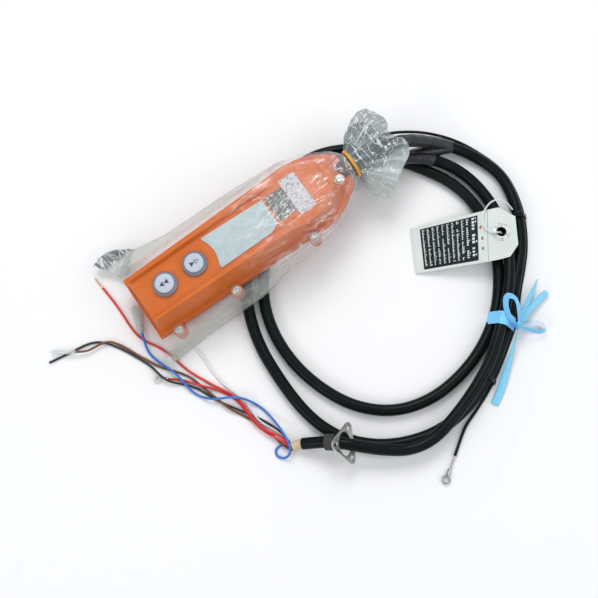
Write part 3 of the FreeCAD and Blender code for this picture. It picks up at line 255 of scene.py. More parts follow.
TAG_LOOP = [
    (0.133, 0.2054, 0.0152), (0.133, 0.2046, 0.0195), (0.1325, 0.2015, 0.0235),
    (0.1295, 0.1965, 0.0246), (0.124, 0.193, 0.0236), (0.1174, 0.1925, 0.0229),
    (0.1085, 0.1985, 0.0226), (0.1035, 0.2075, 0.0227), (0.1016, 0.2163, 0.0226),
    (0.105, 0.224, 0.0222), (0.1117, 0.2285, 0.02), (0.1195, 0.23, 0.0158)]

CABLE_D = 0.0115
SUSPENSION_D = 0.003
CORE_D = 0.0023
TAG_LOOP_D = 0.0018

cable = link("cable", route_curve("cable", CABLE, CABLE_D / 2))
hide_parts("cable_lead", "cable_turns", "cable_tail")

suspension = link("suspension_cable", route_curve("suspension_cable", SUSPENSION, SUSPENSION_D / 2))
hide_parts("suspension_wire")

cores = {}
for colour, route in CORES.items():
    core = link("core_" + colour, route_curve("core_" + colour, route, CORE_D / 2))
    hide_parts("wire_" + colour)
    cores[colour] = core

loop = link("tag_string", route_curve("tag_string", TAG_LOOP, TAG_LOOP_D / 2))
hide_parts("tag_loop")


# ---- materials -----------------------------------------------------------------------------------
class Finish:
    """One Principled material with procedural variation; every distance is in metres."""

    def __init__(self, name, colour, roughness=0.5, **sockets):
        self.material = bpy.data.materials.new(name)
        self.material.use_nodes = True
        self.nodes = self.material.node_tree.nodes
        self.links = self.material.node_tree.links
        self.shader = self.nodes["Principled BSDF"]
        self.coords = self.nodes.new("ShaderNodeTexCoord").outputs["Object"]
        self.shader.inputs["Base Color"].default_value = (*colour, 1.0)
        self.shader.inputs["Roughness"].default_value = roughness
        for socket, value in sockets.items():
            self.shader.inputs[socket.replace("_", " ")].default_value = value
        self.normal = None

    def noise(self, size, detail=4.0, stretch=(1.0, 1.0, 1.0), distortion=0.0,
              turn=(0.0, 0.0, 0.0)):
        """Noise with patches of about one size."""
        mapping = self.nodes.new("ShaderNodeMapping")
        mapping.inputs["Rotation"].default_value = turn
        mapping.inputs["Scale"].default_value = stretch
        texture = self.nodes.new("ShaderNodeTexNoise")
        texture.inputs["Scale"].default_value = 1.0 / size
        texture.inputs["Detail"].default_value = detail
        texture.inputs["Distortion"].default_value = distortion
        self.links.new(self.coords, mapping.inputs["Vector"])
        self.links.new(mapping.outputs["Vector"], texture.inputs["Vector"])
        return texture.outputs["Fac"]

    def ramp(self, factor, *stops):
        """Colour ramp on a factor; a stop is (place, colour or grey)."""
        ramp = self.nodes.new("ShaderNodeValToRGB")
        elements = ramp.color_ramp.elements
        while len(elements) < len(stops):
            elements.new(0.5)
        for element, (place, value) in zip(elements, stops):
            element.position = place
            colour = value if isinstance(value, tuple) else (value, value, value)
            element.color = (*colour, 1.0)
        self.links.new(factor, ramp.inputs["Fac"])
        return ramp.outputs["Color"]

    def tint(self, factor, *stops):
        """Base colour from a ramp on a factor."""
        self.links.new(self.ramp(factor, *stops), self.shader.inputs["Base Color"])

    def rough(self, factor, low, high):
        """Roughness that goes from low to high with a factor."""
        self.links.new(self.ramp(factor, (0.3, low), (0.7, high)), self.shader.inputs["Roughness"])

    def math(self, operation, a, b=None, clamp=False):
        """Result of a Math node on sockets or numbers."""
        node = self.nodes.new("ShaderNodeMath")
        node.operation = operation
        node.use_clamp = clamp
        for socket, value in zip(node.inputs, (a, b)):
            if isinstance(value, (int, float)):
                socket.default_value = value
            elif value is not None:
                self.links.new(value, socket)
        return node.outputs["Value"]

    def bump(self, factor, height, strength=1.0):
        """Bump of a height in metres, on top of the bumps so far."""
        node = self.nodes.new("ShaderNodeBump")
        node.inputs["Strength"].default_value = strength
        node.inputs["Distance"].default_value = height
        self.links.new(factor, node.inputs["Height"])
        if self.normal:
            self.links.new(self.normal, node.inputs["Normal"])
        self.normal = node.outputs["Normal"]
        self.links.new(self.normal, self.shader.inputs["Normal"])
        return self


def shade(colour, factor):
    """The colour, lighter or darker by a factor."""
    return tuple(min(1.0, channel * factor) for channel in colour)


def moulded(name, colour, roughness=0.42, spread=0.1, grain=0.0006, depth=0.00004, **sockets):
    """Moulded plastic or rubber: cloudy colour, a fine grain and worn patches in the gloss."""
    finish = Finish(name, colour, roughness, **sockets)
    cloud = finish.noise(0.03, 6.0)
    finish.tint(cloud, (0.3, shade(colour, 1 - spread)), (0.7, shade(colour, 1 + spread)))
    finish.rough(finish.noise(0.008, 5.0), roughness - 0.08, roughness + 0.12)
    finish.bump(finish.noise(grain, 2.0), depth)
    return finish


def metal(name, colour, roughness=0.3, grain=0.0008, depth=0.00003):
    """Metal with a cast grain and dull patches."""
    finish = Finish(name, colour, roughness, Metallic=1.0)
    cloud = finish.noise(0.006, 6.0)
    finish.tint(cloud, (0.3, shade(colour, 0.7)), (0.7, shade(colour, 1.12)))
    finish.rough(finish.noise(0.003, 5.0), roughness - 0.1, roughness + 0.15)
    finish.bump(finish.noise(grain, 3.0), depth)
    return finish


FINISHES = {
    "orange_plastic": moulded("orange_plastic", (0.60, 0.128, 0.006), 0.34, 0.07, Specular_IOR_Level=0.35),
    "seal_rubber": moulded("seal_rubber", (0.03, 0.03, 0.032), 0.6),
    "plated_steel": metal("plated_steel", (0.62, 0.62, 0.60), 0.28),
    "silver_plastic": moulded("silver_plastic", (0.22, 0.22, 0.28), 0.3, 0.08, Metallic=0.4),
    "cap_plastic": moulded("cap_plastic", (0.47, 0.53, 0.60), 0.28, 0.05),
    "dark_plastic": moulded("dark_plastic", (0.010, 0.011, 0.012), 0.42, Specular_IOR_Level=0.35),
    "contact_brass": metal("contact_brass", (0.75, 0.52, 0.2), 0.3),
    "spring_steel": metal("spring_steel", (0.5, 0.5, 0.5), 0.25),
    "cable_black": moulded("cable_black", (0.003, 0.0065, 0.0065), 0.27, 0.3, 0.0012, 0.00006,
                           Specular_IOR_Level=0.11),
    "suspension_black": moulded("suspension_black", (0.004, 0.006, 0.006), 0.34, 0.2,
                                Specular_IOR_Level=0.18),
    "sheath_tan": moulded("sheath_tan", (0.62, 0.48, 0.30), 0.4, 0.12),
    "core_insulation": moulded("core_insulation", (0.05, 0.05, 0.055), 0.45),
    "core_black": moulded("core_black", (0.014, 0.014, 0.015), 0.35, 0.2),
    "core_brown": moulded("core_brown", (0.16, 0.055, 0.022), 0.38, 0.15),
    "core_red": moulded("core_red", (0.62, 0.022, 0.022), 0.35, 0.12),
    "core_white": moulded("core_white", (0.74, 0.75, 0.74), 0.35, 0.05),
    "core_blue": moulded("core_blue", (0.02, 0.16, 0.56), 0.35, 0.12),
    "grey_sleeve": moulded("grey_sleeve", (0.50, 0.55, 0.58), 0.3, 0.1, Alpha=0.55),
    "copper_strand": metal("copper_strand", (0.80, 0.36, 0.18), 0.3, grain=0.0003, depth=0.00008),
    "tie_nylon": moulded("tie_nylon", (0.005, 0.006, 0.007), 0.3, Specular_IOR_Level=0.25),
    "tag_board": moulded("tag_board", (0.60, 0.66, 0.62), 0.5, 0.05),
    "grommet_metal": metal("grommet_metal", (0.70, 0.70, 0.68), 0.26),
    "clear_plastic": moulded("clear_plastic", (0.78, 0.84, 0.84), 0.2, 0.05, Alpha=0.55),
    "blue_tape": moulded("blue_tape", (0.19, 0.58, 0.98), 0.3, 0.12, 0.002, 0.0001),
    "tape_tail": moulded("tape_tail", (0.24, 0.66, 0.88), 0.25, 0.12, 0.002, 0.0001, Alpha=0.8),
    "amber_rubber": moulded("amber_rubber", (0.62, 0.30, 0.055), 0.38, 0.12),
    "name_metal": moulded("name_metal", (0.44, 0.54, 0.55), 0.26, 0.06, 0.0009, 0.00003, Metallic=0.25),
    "label_grey": moulded("label_grey", (0.13, 0.15, 0.145), 0.3),
    "label_white": moulded("label_white", (0.52, 0.53, 0.55), 0.35, 0.04),
}


def specks(finish, size, under, over, share):
    """Small specks of another colour, as rows of worn print show from afar."""
    fine = finish.noise(size, 2.0, (1.0, 0.6, 1.0))
    finish.tint(fine, (share - 0.03, under), (share + 0.03, over))
    finish.bump(finish.noise(0.004, 4.0, distortion=1.0), 0.0003)


# Print on the labels: size of a speck, the two colours, and how much of the label is the first.
specks(FINISHES["label_white"], 0.0017, (0.22, 0.23, 0.27), (0.54, 0.55, 0.57), 0.42)
specks(FINISHES["label_grey"], 0.0016, (0.09, 0.11, 0.10), (0.55, 0.60, 0.60), 0.60)


def give(piece, finish):
    """One finish in every material slot of a piece."""
    material = FINISHES[finish].material if isinstance(finish, str) else finish.material
    if not piece.data.materials:
        piece.data.materials.append(material)
    for slot in piece.material_slots:
        slot.material = material


for row in frame["record"]["subparts"]:
    node = bpy.data.objects.get(row["node"])
    if node and row["material_slot"] in FINISHES:
        give(node, row["material_slot"])

give(cable, "cable_black")
give(suspension, "suspension_black")
give(loop, "clear_plastic")
for colour, core in cores.items():
    give(core, "core_" + colour.split("_")[0])


# ---- bag film ------------------------------------------------------------------------------------
def glossy(name, colour, roughness):
    return Finish(name, colour, roughness, Specular_IOR_Level=0.9, Coat_Weight=0.6)


FILM = glossy("bag_film", (0.50, 0.55, 0.52), 0.14)
FILM_TAIL = glossy("bag_film_tail", (0.30, 0.35, 0.36), 0.16)
FILM_CORNER = glossy("bag_film_corner", (0.30, 0.35, 0.36), 0.16)


def mask(film, axis, low, high, fold=False):
    """From 0 to 1 as a coordinate goes from low to high; fold takes its size alone."""
    split = film.nodes.new("ShaderNodeSeparateXYZ")
    film.links.new(film.coords, split.inputs["Vector"])
    value = split.outputs[axis]
    if fold:
        value = film.math("ABSOLUTE", value)
    reach = film.nodes.new("ShaderNodeMapRange")
    reach.interpolation_type = "SMOOTHSTEP"
    reach.inputs["From Min"].default_value = low
    reach.inputs["From Max"].default_value = high
    film.links.new(value, reach.inputs["Value"])
    return reach.outputs["Result"]


def creases_and_glints(film, size, stretch, turn, distortion, width):
    """Thin lines where a noise passes its middle, used as painted highlights along the film's creases, and the
    noise.
    """
    pattern = film.noise(size, 5.0, stretch, distortion, turn)
    lines = film.ramp(pattern, (0.0, 0.0), (0.5 - width, 0.0), (0.5, 1.0), (0.5 + width, 0.0))
    return lines, pattern


# The pale tint is the film over the case and its painted highlights along the creases; the skirt tint is the
# greyish film at the edges.
SKIRT_TINT, PALE_FILM_AND_GLINT_TINT = (0.50, 0.58, 0.51), (0.88, 0.80, 0.80)
NO_STRETCH, NO_TURN = (1.0, 1.0, 1.0), (0.0, 0.0, 0.0)


def bag_film(film):
    """Nearly clear over the buttons; hazy at its edges; creased and hazy where it is gathered, with painted
    highlights as pale lines along the creases.
    """
    times, plus = partial(film.math, "MULTIPLY"), partial(film.math, "ADD")
    along, pattern = creases_and_glints(film, 0.010, (1.0, 0.16, 1.0), (0.0, 0.0, 0.25), 0.5, 0.026)
    net, cross = creases_and_glints(film, 0.013, NO_STRETCH, NO_TURN, 1.6, 0.016)
    gathered = mask(film, "Y", -0.070, 0.055)
    patches = film.ramp(film.noise(0.022, 3.0), (0.38, 0.1), (0.58, 1.0))
    edge = mask(film, "X", 0.041, 0.049, fold=True)
    neck = mask(film, "Y", 0.094, 0.106)
    # These crease lines are painted highlights: below they lift the alpha and pale the colour.
    lines = film.math("MAXIMUM", along, times(net, times(gathered, 0.55)))
    shown = times(lines, film.math("MAXIMUM", times(gathered, patches), times(edge, 0.22)))
    haze = times(film.noise(0.03, 3.0), plus(times(gathered, 0.18), 0.03))
    haze = plus(plus(haze, times(edge, 0.38)), times(neck, 0.12))
    film.links.new(plus(haze, times(shown, 0.62), clamp=True), film.shader.inputs["Alpha"])
    pale = film.math("MAXIMUM", shown, film.math("SUBTRACT", 1.0, edge))
    film.tint(pale, (0.0, SKIRT_TINT), (1.0, PALE_FILM_AND_GLINT_TINT))
    film.bump(pattern, 0.0008, 0.7)
    film.bump(cross, 0.0005, 0.6)


def doubled_film(film, axis, dark_at, pale_at, dark, least):
    """Several thicknesses of film: dark, paler towards one side, with painted white highlights along its
    creases.

    least is the opacity where the film is thinnest.
    """
    times, plus = partial(film.math, "MULTIPLY"), partial(film.math, "ADD")
    fold, pattern = creases_and_glints(film, 0.010, (0.22, 1.0, 1.0), (0.0, 0.0, -0.9), 0.45, 0.022)
    net, cross = creases_and_glints(film, 0.012, NO_STRETCH, NO_TURN, 1.8, 0.012)
    # These crease lines are painted highlights: near-white colour and more alpha along them.
    lines = film.math("MAXIMUM", fold, times(net, 0.35))
    pale = times(mask(film, axis, dark_at, pale_at), 0.55)
    film.tint(film.math("MAXIMUM", times(lines, 0.9), pale),
              (0.0, dark), (0.55, (0.50, 0.56, 0.53)), (1.0, (0.88, 0.92, 0.90)))
    base = plus(times(film.noise(0.02, 4.0), 0.5), least)
    film.links.new(plus(base, times(lines, 0.3), clamp=True), film.shader.inputs["Alpha"])
    film.bump(pattern, 0.0009, 0.8)
    film.bump(cross, 0.0006, 0.7)


bag_film(FILM)
doubled_film(FILM_TAIL, "X", 0.008, 0.026, (0.10, 0.135, 0.14), 0.48)
doubled_film(FILM_CORNER, "X", -0.065, -0.057, (0.035, 0.055, 0.065), 0.62)

# The film round the case, in the pendant's millimetres. A row of BAG is s, then u and h of the
# crest, of the side, of the low edge and of the underside; a row of an edge is s, u and h.
BAG = [
    (-5.0, 24, 6, 33, 6, 40, 5, 30, 0.3), (-3.8, 25, 22, 34, 20, 40, 18, 30, -0.2),
    (-2.9, 26, 33, 35, 30, 41, 26, 30, -0.3), (1.0, 27, 48, 36, 36, 43, 30, 30, -0.4),
    (4.6, 28.2, 57.4, 37, 39, 44.5, 32, 30, -0.4), (10, 28.8, 58, 38, 40, 46, 32.5, 30, -0.4),
    (60, 29.2, 58, 38.5, 40, 46.2, 32.5, 30, -0.4), (150, 30, 57.4, 40, 40, 46.5, 33, 30, -0.4),
    (186, 29.5, 55.5, 40, 40, 46, 33, 30, -0.4), (205, 24, 53, 34.5, 40, 40, 31, 26, -0.4),
    (222, 17.5, 51, 27, 39, 31.5, 29, 20, -0.4), (236, 10.5, 48.5, 19.5, 38, 23, 28, 13, -0.2),
    (241.5, 7, 41, 14.5, 35, 18, 27, 9, 9.5), (245, 5.2, 38.6, 10.4, 34.6, 12.7, 26.2, 8, 15.5)]
LEFT_EDGE = [
    (-5, -50, 4), (9, -60, 10), (23, -60, 15), (55, -54, 16), (97, -53, 16), (140, -52, 16), (178, -49, 16),
    (205, -42, 17), (222, -31, 22), (236, -21.5, 27), (245, -12.9, 26.2)]
RIGHT_EDGE = [
    (-5, 56.5, 4.5), (8, 55, 2), (31, 53, 0), (60, 53, 2), (82, 53, 3), (100, 53, 1), (117, 50, -1.5),
    (129, 45, -4), (152, 44, -4), (180, 43, 0), (204, 39.5, 8), (222, 31, 18), (236, 21.5, 26),
    (245, 12.9, 26.2)]


def between(rows, s):
    """Row of a table at a distance s, eased between its neighbours."""
    for low, high in zip(rows, rows[1:]):
        if s <= high[0]:
            part = max(0.0, (s - low[0]) / (high[0] - low[0]))
            return [a + (b - a) * part for a, b in zip(low[1:], high[1:])]
    return list(rows[-1][1:])


def through(controls, count):
    """Smooth line of a number of points through control points."""
    places = [Vector(c) for c in controls]
    places = [places[0] * 2 - places[1]] + places + [places[-1] * 2 - places[-2]]
    spans, line = len(controls) - 1, []
    for k in range(count):
        at = k / (count - 1) * spans
        i = min(int(at), spans - 1)
        t = at - i
        a, b, c, d = places[i:i + 4]
        line.append(0.5 * (2 * b + (c - a) * t + (2 * a - 5 * b + 4 * c - d) * t * t
                           + (3 * b - a - 3 * c + d) * t ** 3))
    return line


OVER, UNDER = 92, 40           # points across the top sheet and across the underside
LINES = [(centreline(CABLE), CABLE_D / 2), (centreline(SUSPENSION), SUSPENSION_D / 2)]
LINES += [(centreline(route), CORE_D / 2) for route in CORES.values()]
FILM_ROOM = 0.0007             # room kept between the film and a cord


def clear_of_cords(place, way=1):
    """The place, raised (or lowered) off any cord that it is in."""
    for line, radius in LINES:
        reach = radius + FILM_ROOM
        for spot in line:
            flat = (place.x - spot.x) ** 2 + (place.y - spot.y) ** 2
            if flat < reach ** 2 and abs(place.z - spot.z) < reach:
                rise = math.sqrt(reach ** 2 - flat)
                if way > 0:
                    place.z = max(place.z, spot.z + rise)
                else:
                    place.z = min(place.z, spot.z - rise)
    return place


def film_row(s):
    """Points round the bag at a distance s: (u, h, 0) across its top sheet, then its underside."""
    crest_u, crest_h, side_u, side_h, low_u, low_h, under_u, under_h = between(BAG, s)
    left, right = between(LEFT_EDGE, s), between(RIGHT_EDGE, s)
    low_left = min(low_u, max(side_u + 2.5, low_u - 4.5))
    top = through([
        (left[0], left[1], 0), (-low_left, low_h - 3, 0), (-side_u, side_h, 0), (-crest_u, crest_h, 0),
        (0, crest_h - 0.4, 0), (crest_u, crest_h, 0), (side_u, side_h, 0), (low_u, low_h, 0),
        (right[0], right[1], 0)], OVER)
    bottom = through([
        (right[0], right[1], 0), (under_u, under_h, 0), (0, under_h, 0), (-under_u, under_h, 0),
        (left[0], left[1], 0)], UNDER)
    return top + bottom[1:-1]


END_STATIONS = [-5.0, -4.4, -3.8, -3.3, -2.9, -1.6, -0.3, 1.0, 2.2, 3.4, 4.6, 6.0]
BODY_FROM, BODY_TO, BODY_STEP = 7.5, 245, 1.5          # s of the evenly spaced rows
GATHER_FROM, GATHER_LENGTH = 172, 70                   # s where pleats begin, and how far they grow
MIDDLE_H = 24                  # h of the line that folds stand out from
PLEAT = 9.0                    # points of a row in one pleat
UNDERSIDE_H = 5                # below this h no fold goes down
COIL_TOP = 0.02                # height over the table that clears the coil


def film_body():
    """The bag round the case: its rows, with folds, and pleats towards the neck."""
    stations = END_STATIONS + [
        BODY_FROM + BODY_STEP * k for k in range(int((BODY_TO - BODY_FROM) / BODY_STEP) + 1)]
    points = []
    for s in stations:
        ring = film_row(s)
        gather = max(0.0, (s - GATHER_FROM) / GATHER_LENGTH)
        for k, (u, h, _) in enumerate(ring):
            spot = Vector((u, s * 0.28, h)) * 0.055
            fold = abs(noise.noise(spot * 1.3)) * 1.1 + 0.35 * abs(noise.noise(spot * 4.1))
            drift = 5 * noise.noise(Vector((u, s, h)) * 0.02)
            pleat = 0.5 + 0.5 * math.sin(k * 2 * math.pi / PLEAT + drift)
            out = Vector((u, h - MIDDLE_H, 0)).normalized()
            amount = fold * (1.0 if k < OVER else 0.1) + pleat * 1.7 * gather * (1 - gather) * 2
            height = h + out.y * amount
            if h < UNDERSIDE_H:
                height = max(height, h)
            place = pendant(u + out.x * amount, s, height)
            points.append(clear_of_cords(place) if place.z < COIL_TOP else place)
    return points, grid_faces(len(stations), OVER + UNDER - 2, closed=True)


def sheet_grid(inner, outer, rows, columns, lift, waves, depth, seed, way=1):
    """Film between two lines: it bulges by lift, and folds run from one line to the other."""
    near, far = through(inner, columns), through(outer, columns)
    points = []
    for i in range(rows):
        t = i / (rows - 1)
        for j in range(columns):
            a = j / (columns - 1)
            drift = noise.noise(Vector((a * 6, t * 2, seed)))
            wave = math.sin(2 * math.pi * (waves * a + 0.55 * drift))
            wave += 0.5 * math.sin(2 * math.pi * waves * 2.3 * a + 4 * drift)
            bulge = lift * math.sin(math.pi * t ** 0.7) + depth * wave * min(1.0, 1.6 * t)
            place = near[j].lerp(far[j], t) * MM + UPWARD * MM * bulge
            place.z = max(place.z, TABLE_GAP)
            points.append(clear_of_cords(place, way))
    return points, grid_faces(rows, columns)


def corner(outline, depth, seed):
    """Corner of the bag that lies out on the table, between its root and its tip lines."""
    return sheet_grid(outline[0], outline[1], 14, 16, 0.8, 1.5, depth, seed)


# Roots and tips of the two corners, in millimetres of the frame.
LEFT_CORNER = [[(-60, -106, 17), (-52, -119, 14), (-44, -129, 8)],
               [(-71, -122, 15), (-75, -137, 13), (-71, -150, 9)]]
RIGHT_CORNER = [[(22, -133, 3), (38, -134.5, 4.5), (55, -128, 5)],
                [(31, -138, 3), (51, -144.5, 7), (57, -140, 6.5)]]

# The gathered mouth of the bag: lines round the band and round the rim of the open end.
NECK_TOP = [(-12, 111.5, 55), (-9, 112, 64), (-2, 111.5, 69), (6, 111.5, 67.5), (11, 113, 61),
            (13, 114, 54), (11, 115, 48)]
RIM_TOP = [(-26, 122, 62), (-38, 143, 66), (-33, 158, 69), (-14, 165, 66), (-4, 160, 65), (10, 170, 62),
           (22, 168, 54), (33, 149, 48), (39, 141, 40), (44, 134, 35), (38, 124, 33), (33, 117, 34)]
NECK_LOW = [(-12, 111.5, 54), (-9.5, 113, 49), (-3, 115, 45), (4, 115.5, 44.5), (9, 115.5, 46),
            (11, 115, 48)]
RIM_LOW = [(-26, 122, 61), (-36, 140, 50), (-30, 156, 44), (-8, 162, 40), (8, 164, 38), (24, 156, 36),
           (36, 142, 33), (43, 134, 32), (38, 124, 31), (33, 117, 33)]


def film_mesh(name, parts, finish):
    """One mesh of several stretches of film."""
    points, faces = [], []
    for more_points, more_faces in parts:
        faces += [tuple(i + len(points) for i in face) for face in more_faces]
        points += more_points
    piece = mesh_piece(name, points, faces)
    give(piece, finish)
    return piece


bag = film_mesh("bag_film", [film_body(), corner(RIGHT_CORNER, 0.5, 7.0)], FILM)
flap = film_mesh("bag_corner", [corner(LEFT_CORNER, 1.2, 3.0)], FILM_CORNER)
tail = film_mesh("bag_mouth", [
    sheet_grid(NECK_TOP, RIM_TOP, 34, 110, 3.0, 9, 1.5, 1.0),
    sheet_grid(NECK_LOW, RIM_LOW, 30, 90, -2.0, 7, 1.2, 5.0, way=-1)], FILM_TAIL)
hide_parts("poly_bag")
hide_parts("poly_bag")
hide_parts("poly_bag")


# ---- prints on the pendant -----------------------------------------------------------------------
PRINT = moulded("print_dark", (0.03, 0.035, 0.045), 0.5)
BUTTONS = {"lower": 32.0, "upper": 66.0}     # s of each button, in millimetres
PRINT_H = 56.47                # h of the print, just over a cap
MARK_SIZE = 3.0
TIPS = [(1.0, 0.0), (-0.55, 0.85), (-0.55, -0.85)]     # a triangle's corners, along and across


def triangle(points, faces, u, s, heading, solid):
    """Adds a triangle that points along a heading; an open one is a band along its sides."""
    base = len(points)
    for scale in (MARK_SIZE,) if solid else (MARK_SIZE, MARK_SIZE * 0.62):
        for along, across in TIPS:
            a, b = along * scale, across * scale
            points.append(pendant(u + a * math.cos(heading) - b * math.sin(heading),
                                  s + a * math.sin(heading) + b * math.cos(heading), PRINT_H))
    if solid:
        faces.append((base, base + 1, base + 2))
    else:
        for k in range(3):
            n = (k + 1) % 3
            faces.append((base + k, base + n, base + 3 + n, base + 3 + k))


def button_print(name, body, s, heading, second_solid):
    """Two triangles on a cap, one behind the other along a heading."""
    points, faces = [], []
    for step, solid in ((-2.4, True), (2.6, second_solid)):
        triangle(points, faces, step * math.cos(heading), s + step * math.sin(heading), heading, solid)
    give(mesh_piece(name, points, faces, body, smooth=False), PRINT)


button_print("lower_mark", "button_lower", BUTTONS["lower"], math.radians(-90), True)
button_print("upper_mark", "button_upper", BUTTONS["upper"], math.radians(90), False)


# ---- return springs ------------------------------------------------------------------------------
SPRING_R, SPRING_WIRE_R = 5.6, 0.45          # coil and wire, in millimetres
SPRING_LOW, SPRING_HIGH, SPRING_TURNS = 43.95, 52.35, 4.8
SPRING_STEPS = 110


def button_spring(name, s):
    """Return spring: a coil of wire from its foot on the ledge up to its top."""
    line = []
    for i in range(SPRING_STEPS + 1):
        turn = 2 * math.pi * SPRING_TURNS * i / SPRING_STEPS
        h = SPRING_LOW + (SPRING_HIGH - SPRING_LOW) * i / SPRING_STEPS
        line.append(pendant(SPRING_R * math.cos(turn), s + SPRING_R * math.sin(turn), h))
    coil = tube_along(name + "_coil", line, lambda gone, turn: SPRING_WIRE_R * MM, 10, body=None)
    give(coil, "spring_steel")
    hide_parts(name + "_spring")
    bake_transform(coil)


for name, s in BUTTONS.items():
    button_spring(name, s)


# ---- tag -----------------------------------------------------------------------------------------
TAG_FAR = (Vector((74.8, 137.1, 1.7)), Vector((116.3, 113.7, 1.7)))        # top face, far edge
TAG_FOLD = (Vector((106.7, 207.9, 21.1)), Vector((150.8, 175.6, 21.1)))    # top face, at the fold
PANEL = (0.115, 0.86, 0.06, 0.945)          # printed panel: from the far edge, and across the card


def on_tag(along, across, lift):
    """Point over the sloping part of the card: 0 to 1 from its far edge, and 0 to 1 across."""
    far, fold = TAG_FAR[0].lerp(TAG_FAR[1], across), TAG_FOLD[0].lerp(TAG_FOLD[1], across)
    return (far.lerp(fold, along) + UPWARD * lift) * MM


def patches_on_tag(name, patches, lift, finish):
    """One mesh of flat patches on the card; each is (along0, along1, across0, across1)."""
    points, faces = [], []
    for a0, a1, b0, b1 in patches:
        base = len(points)
        points += [on_tag(a, b, lift) for a, b in ((a0, b0), (a1, b0), (a1, b1), (a0, b1))]
        faces.append((base, base + 1, base + 2, base + 3))
    give(mesh_piece(name, points, faces, "tag", smooth=False), finish)


def cells(low, high, count):
    """Ends of the equal cells that a range is split into."""
    edges = [low + (high - low) * i / count for i in range(count + 1)]
    return list(zip(edges, edges[1:]))


INK = moulded("ink_dark", (0.008, 0.014, 0.017), 0.4, 0.3, Specular_IOR_Level=0.12)
MARK = moulded("ink_light", (0.62, 0.70, 0.68), 0.4, 0.15)
GREY_MARK = moulded("ink_grey", (0.16, 0.19, 0.21), 0.45)
RED_MARK = moulded("ink_red", (0.42, 0.08, 0.03), 0.45)

PANEL_CELLS = 16               # cells each way, so that the panel follows the twisted card
patches_on_tag("tag_panel", [along + across for along in cells(PANEL[0], PANEL[1], PANEL_CELLS)
                             for across in cells(PANEL[2], PANEL[3], PANEL_CELLS)], 0.08, INK)

COLUMN_SIZES = [1.0] * 9 + [1.35, 2.1]       # columns of generic marks, the last ones larger
MARGIN = 0.03                  # room at both ends of a column
LAST_GAP = 0.008               # more room before the last column


def generic_marks():
    """Small patches in columns across the panel, with gaps, as print looks from afar."""
    marks = []
    for column, size in enumerate(COLUMN_SIZES):
        along = PANEL[0] + 0.025 + column * 0.0635
        if column == len(COLUMN_SIZES) - 1:
            along += LAST_GAP
        pitch = 0.031 * size
        across = PANEL[2] + MARGIN
        while across < PANEL[3] - MARGIN - pitch:
            spot = Vector((column * 3.7, across * 40, 2.0))
            if noise.noise(spot * 0.35) > -0.42:
                broad = 0.016 * size * (1 + 0.5 * noise.noise(spot))
                tall = pitch * 0.62 * (1 + 0.4 * noise.noise(spot * 1.7))
                marks.append((along, along + broad, across, across + tall))
                if noise.noise(spot * 2.3) > 0.05:
                    marks.append((along + broad * 1.35, along + broad * 1.75, across, across + tall * 0.8))
            across += pitch
    return marks


patches_on_tag("tag_marks", generic_marks(), 0.15, MARK)
patches_on_tag("tag_grey_marks", [(0.90, 0.93, 0.50, 0.56), (0.905, 0.935, 0.70, 0.76)], 0.06, GREY_MARK)
patches_on_tag("tag_fold_line", [(0.985, 0.991, 0.01, 0.99)], 0.06, GREY_MARK)
DIAMOND = [(0.875, 0.31), (0.895, 0.265), (0.915, 0.31), (0.895, 0.355)]
diamond = mesh_piece("tag_diamond", [on_tag(a, b, 0.06) for a, b in DIAMOND], [(0, 1, 2, 3)], "tag",
                     smooth=False)
give(diamond, RED_MARK)


# ---- tape bow ------------------------------------------------------------------------------------
STRIP_ROWS, STRIP_COLUMNS = 60, 7
TAPE_THICKNESS = 0.00012


def span(values, t):
    """The two neighbours of a list at a share t of it, and the share between them."""
    at = t * (len(values) - 1)
    k = min(int(at), len(values) - 2)
    return values[k], values[k + 1], at - k


def strip(name, path, widths, facing, finish, cup=0.1):
    """Strip of tape on a smooth path in millimetres; facing is the way its flat side looks."""
    line = through(path, STRIP_ROWS)
    points = []
    for i, spot in enumerate(line):
        t = i / (STRIP_ROWS - 1)
        way = (line[min(i + 1, STRIP_ROWS - 1)] - line[max(i - 1, 0)]).normalized()
        first, second, part = span(facing, t)
        across = way.cross(Vector(first).lerp(Vector(second), part)).normalized()
        out = across.cross(way).normalized()
        first, second, part = span(widths, t)
        width = first + (second - first) * part
        for j in range(STRIP_COLUMNS):
            b = 2 * j / (STRIP_COLUMNS - 1) - 1
            ripple = 0.25 * noise.noise(spot * 0.16 + Vector((0, 0, b * 0.7)))
            place = (spot + across * (b * width / 2) + out * (cup * width * (1 - b * b) + ripple)) * MM
            place.z = max(place.z, TABLE_GAP)
            points.append(place)
    piece = mesh_piece(name, points, grid_faces(STRIP_ROWS, STRIP_COLUMNS))
    thick = piece.modifiers.new("thickness", "SOLIDIFY")
    thick.thickness = TAPE_THICKNESS
    thick.offset = 0.0
    give(piece, finish)
    return piece


UP = (0, 0, 1)
bow_loop = strip(
    "bow_loop",
    [(220, 160, 18), (215, 157, 23), (205, 156.5, 26), (196, 160, 27.5), (190.5, 165.5, 29),
     (193.5, 168.5, 32), (199, 169.5, 33), (208, 166.5, 30), (216, 162, 24), (220, 160, 19)],
    [3.0, 6.0, 6.5, 6.0, 6.5, 4.0],
    [(-0.6, -0.6, 0.5), (-0.5, -0.5, 0.7), (0.4, 0.6, 0.7), (0.5, 0.5, 0.7)], "blue_tape", 0.03)
bow_ring = strip(
    "bow_ring",
    [(220, 162, 15), (219.5, 170, 12), (222, 177, 9), (229, 184, 7), (235, 184.5, 6),
     (236, 180, 6), (232, 174, 7.5), (225, 166.5, 12), (221, 162, 15)],
    [3.0, 5.5, 6.0, 5.5, 3.0],
    [(-0.9, 0.35, 0.2), (-0.4, 0.9, 0.2), (0.9, 0.1, 0.2), (0.8, -0.5, 0.2)], "blue_tape", 0.02)
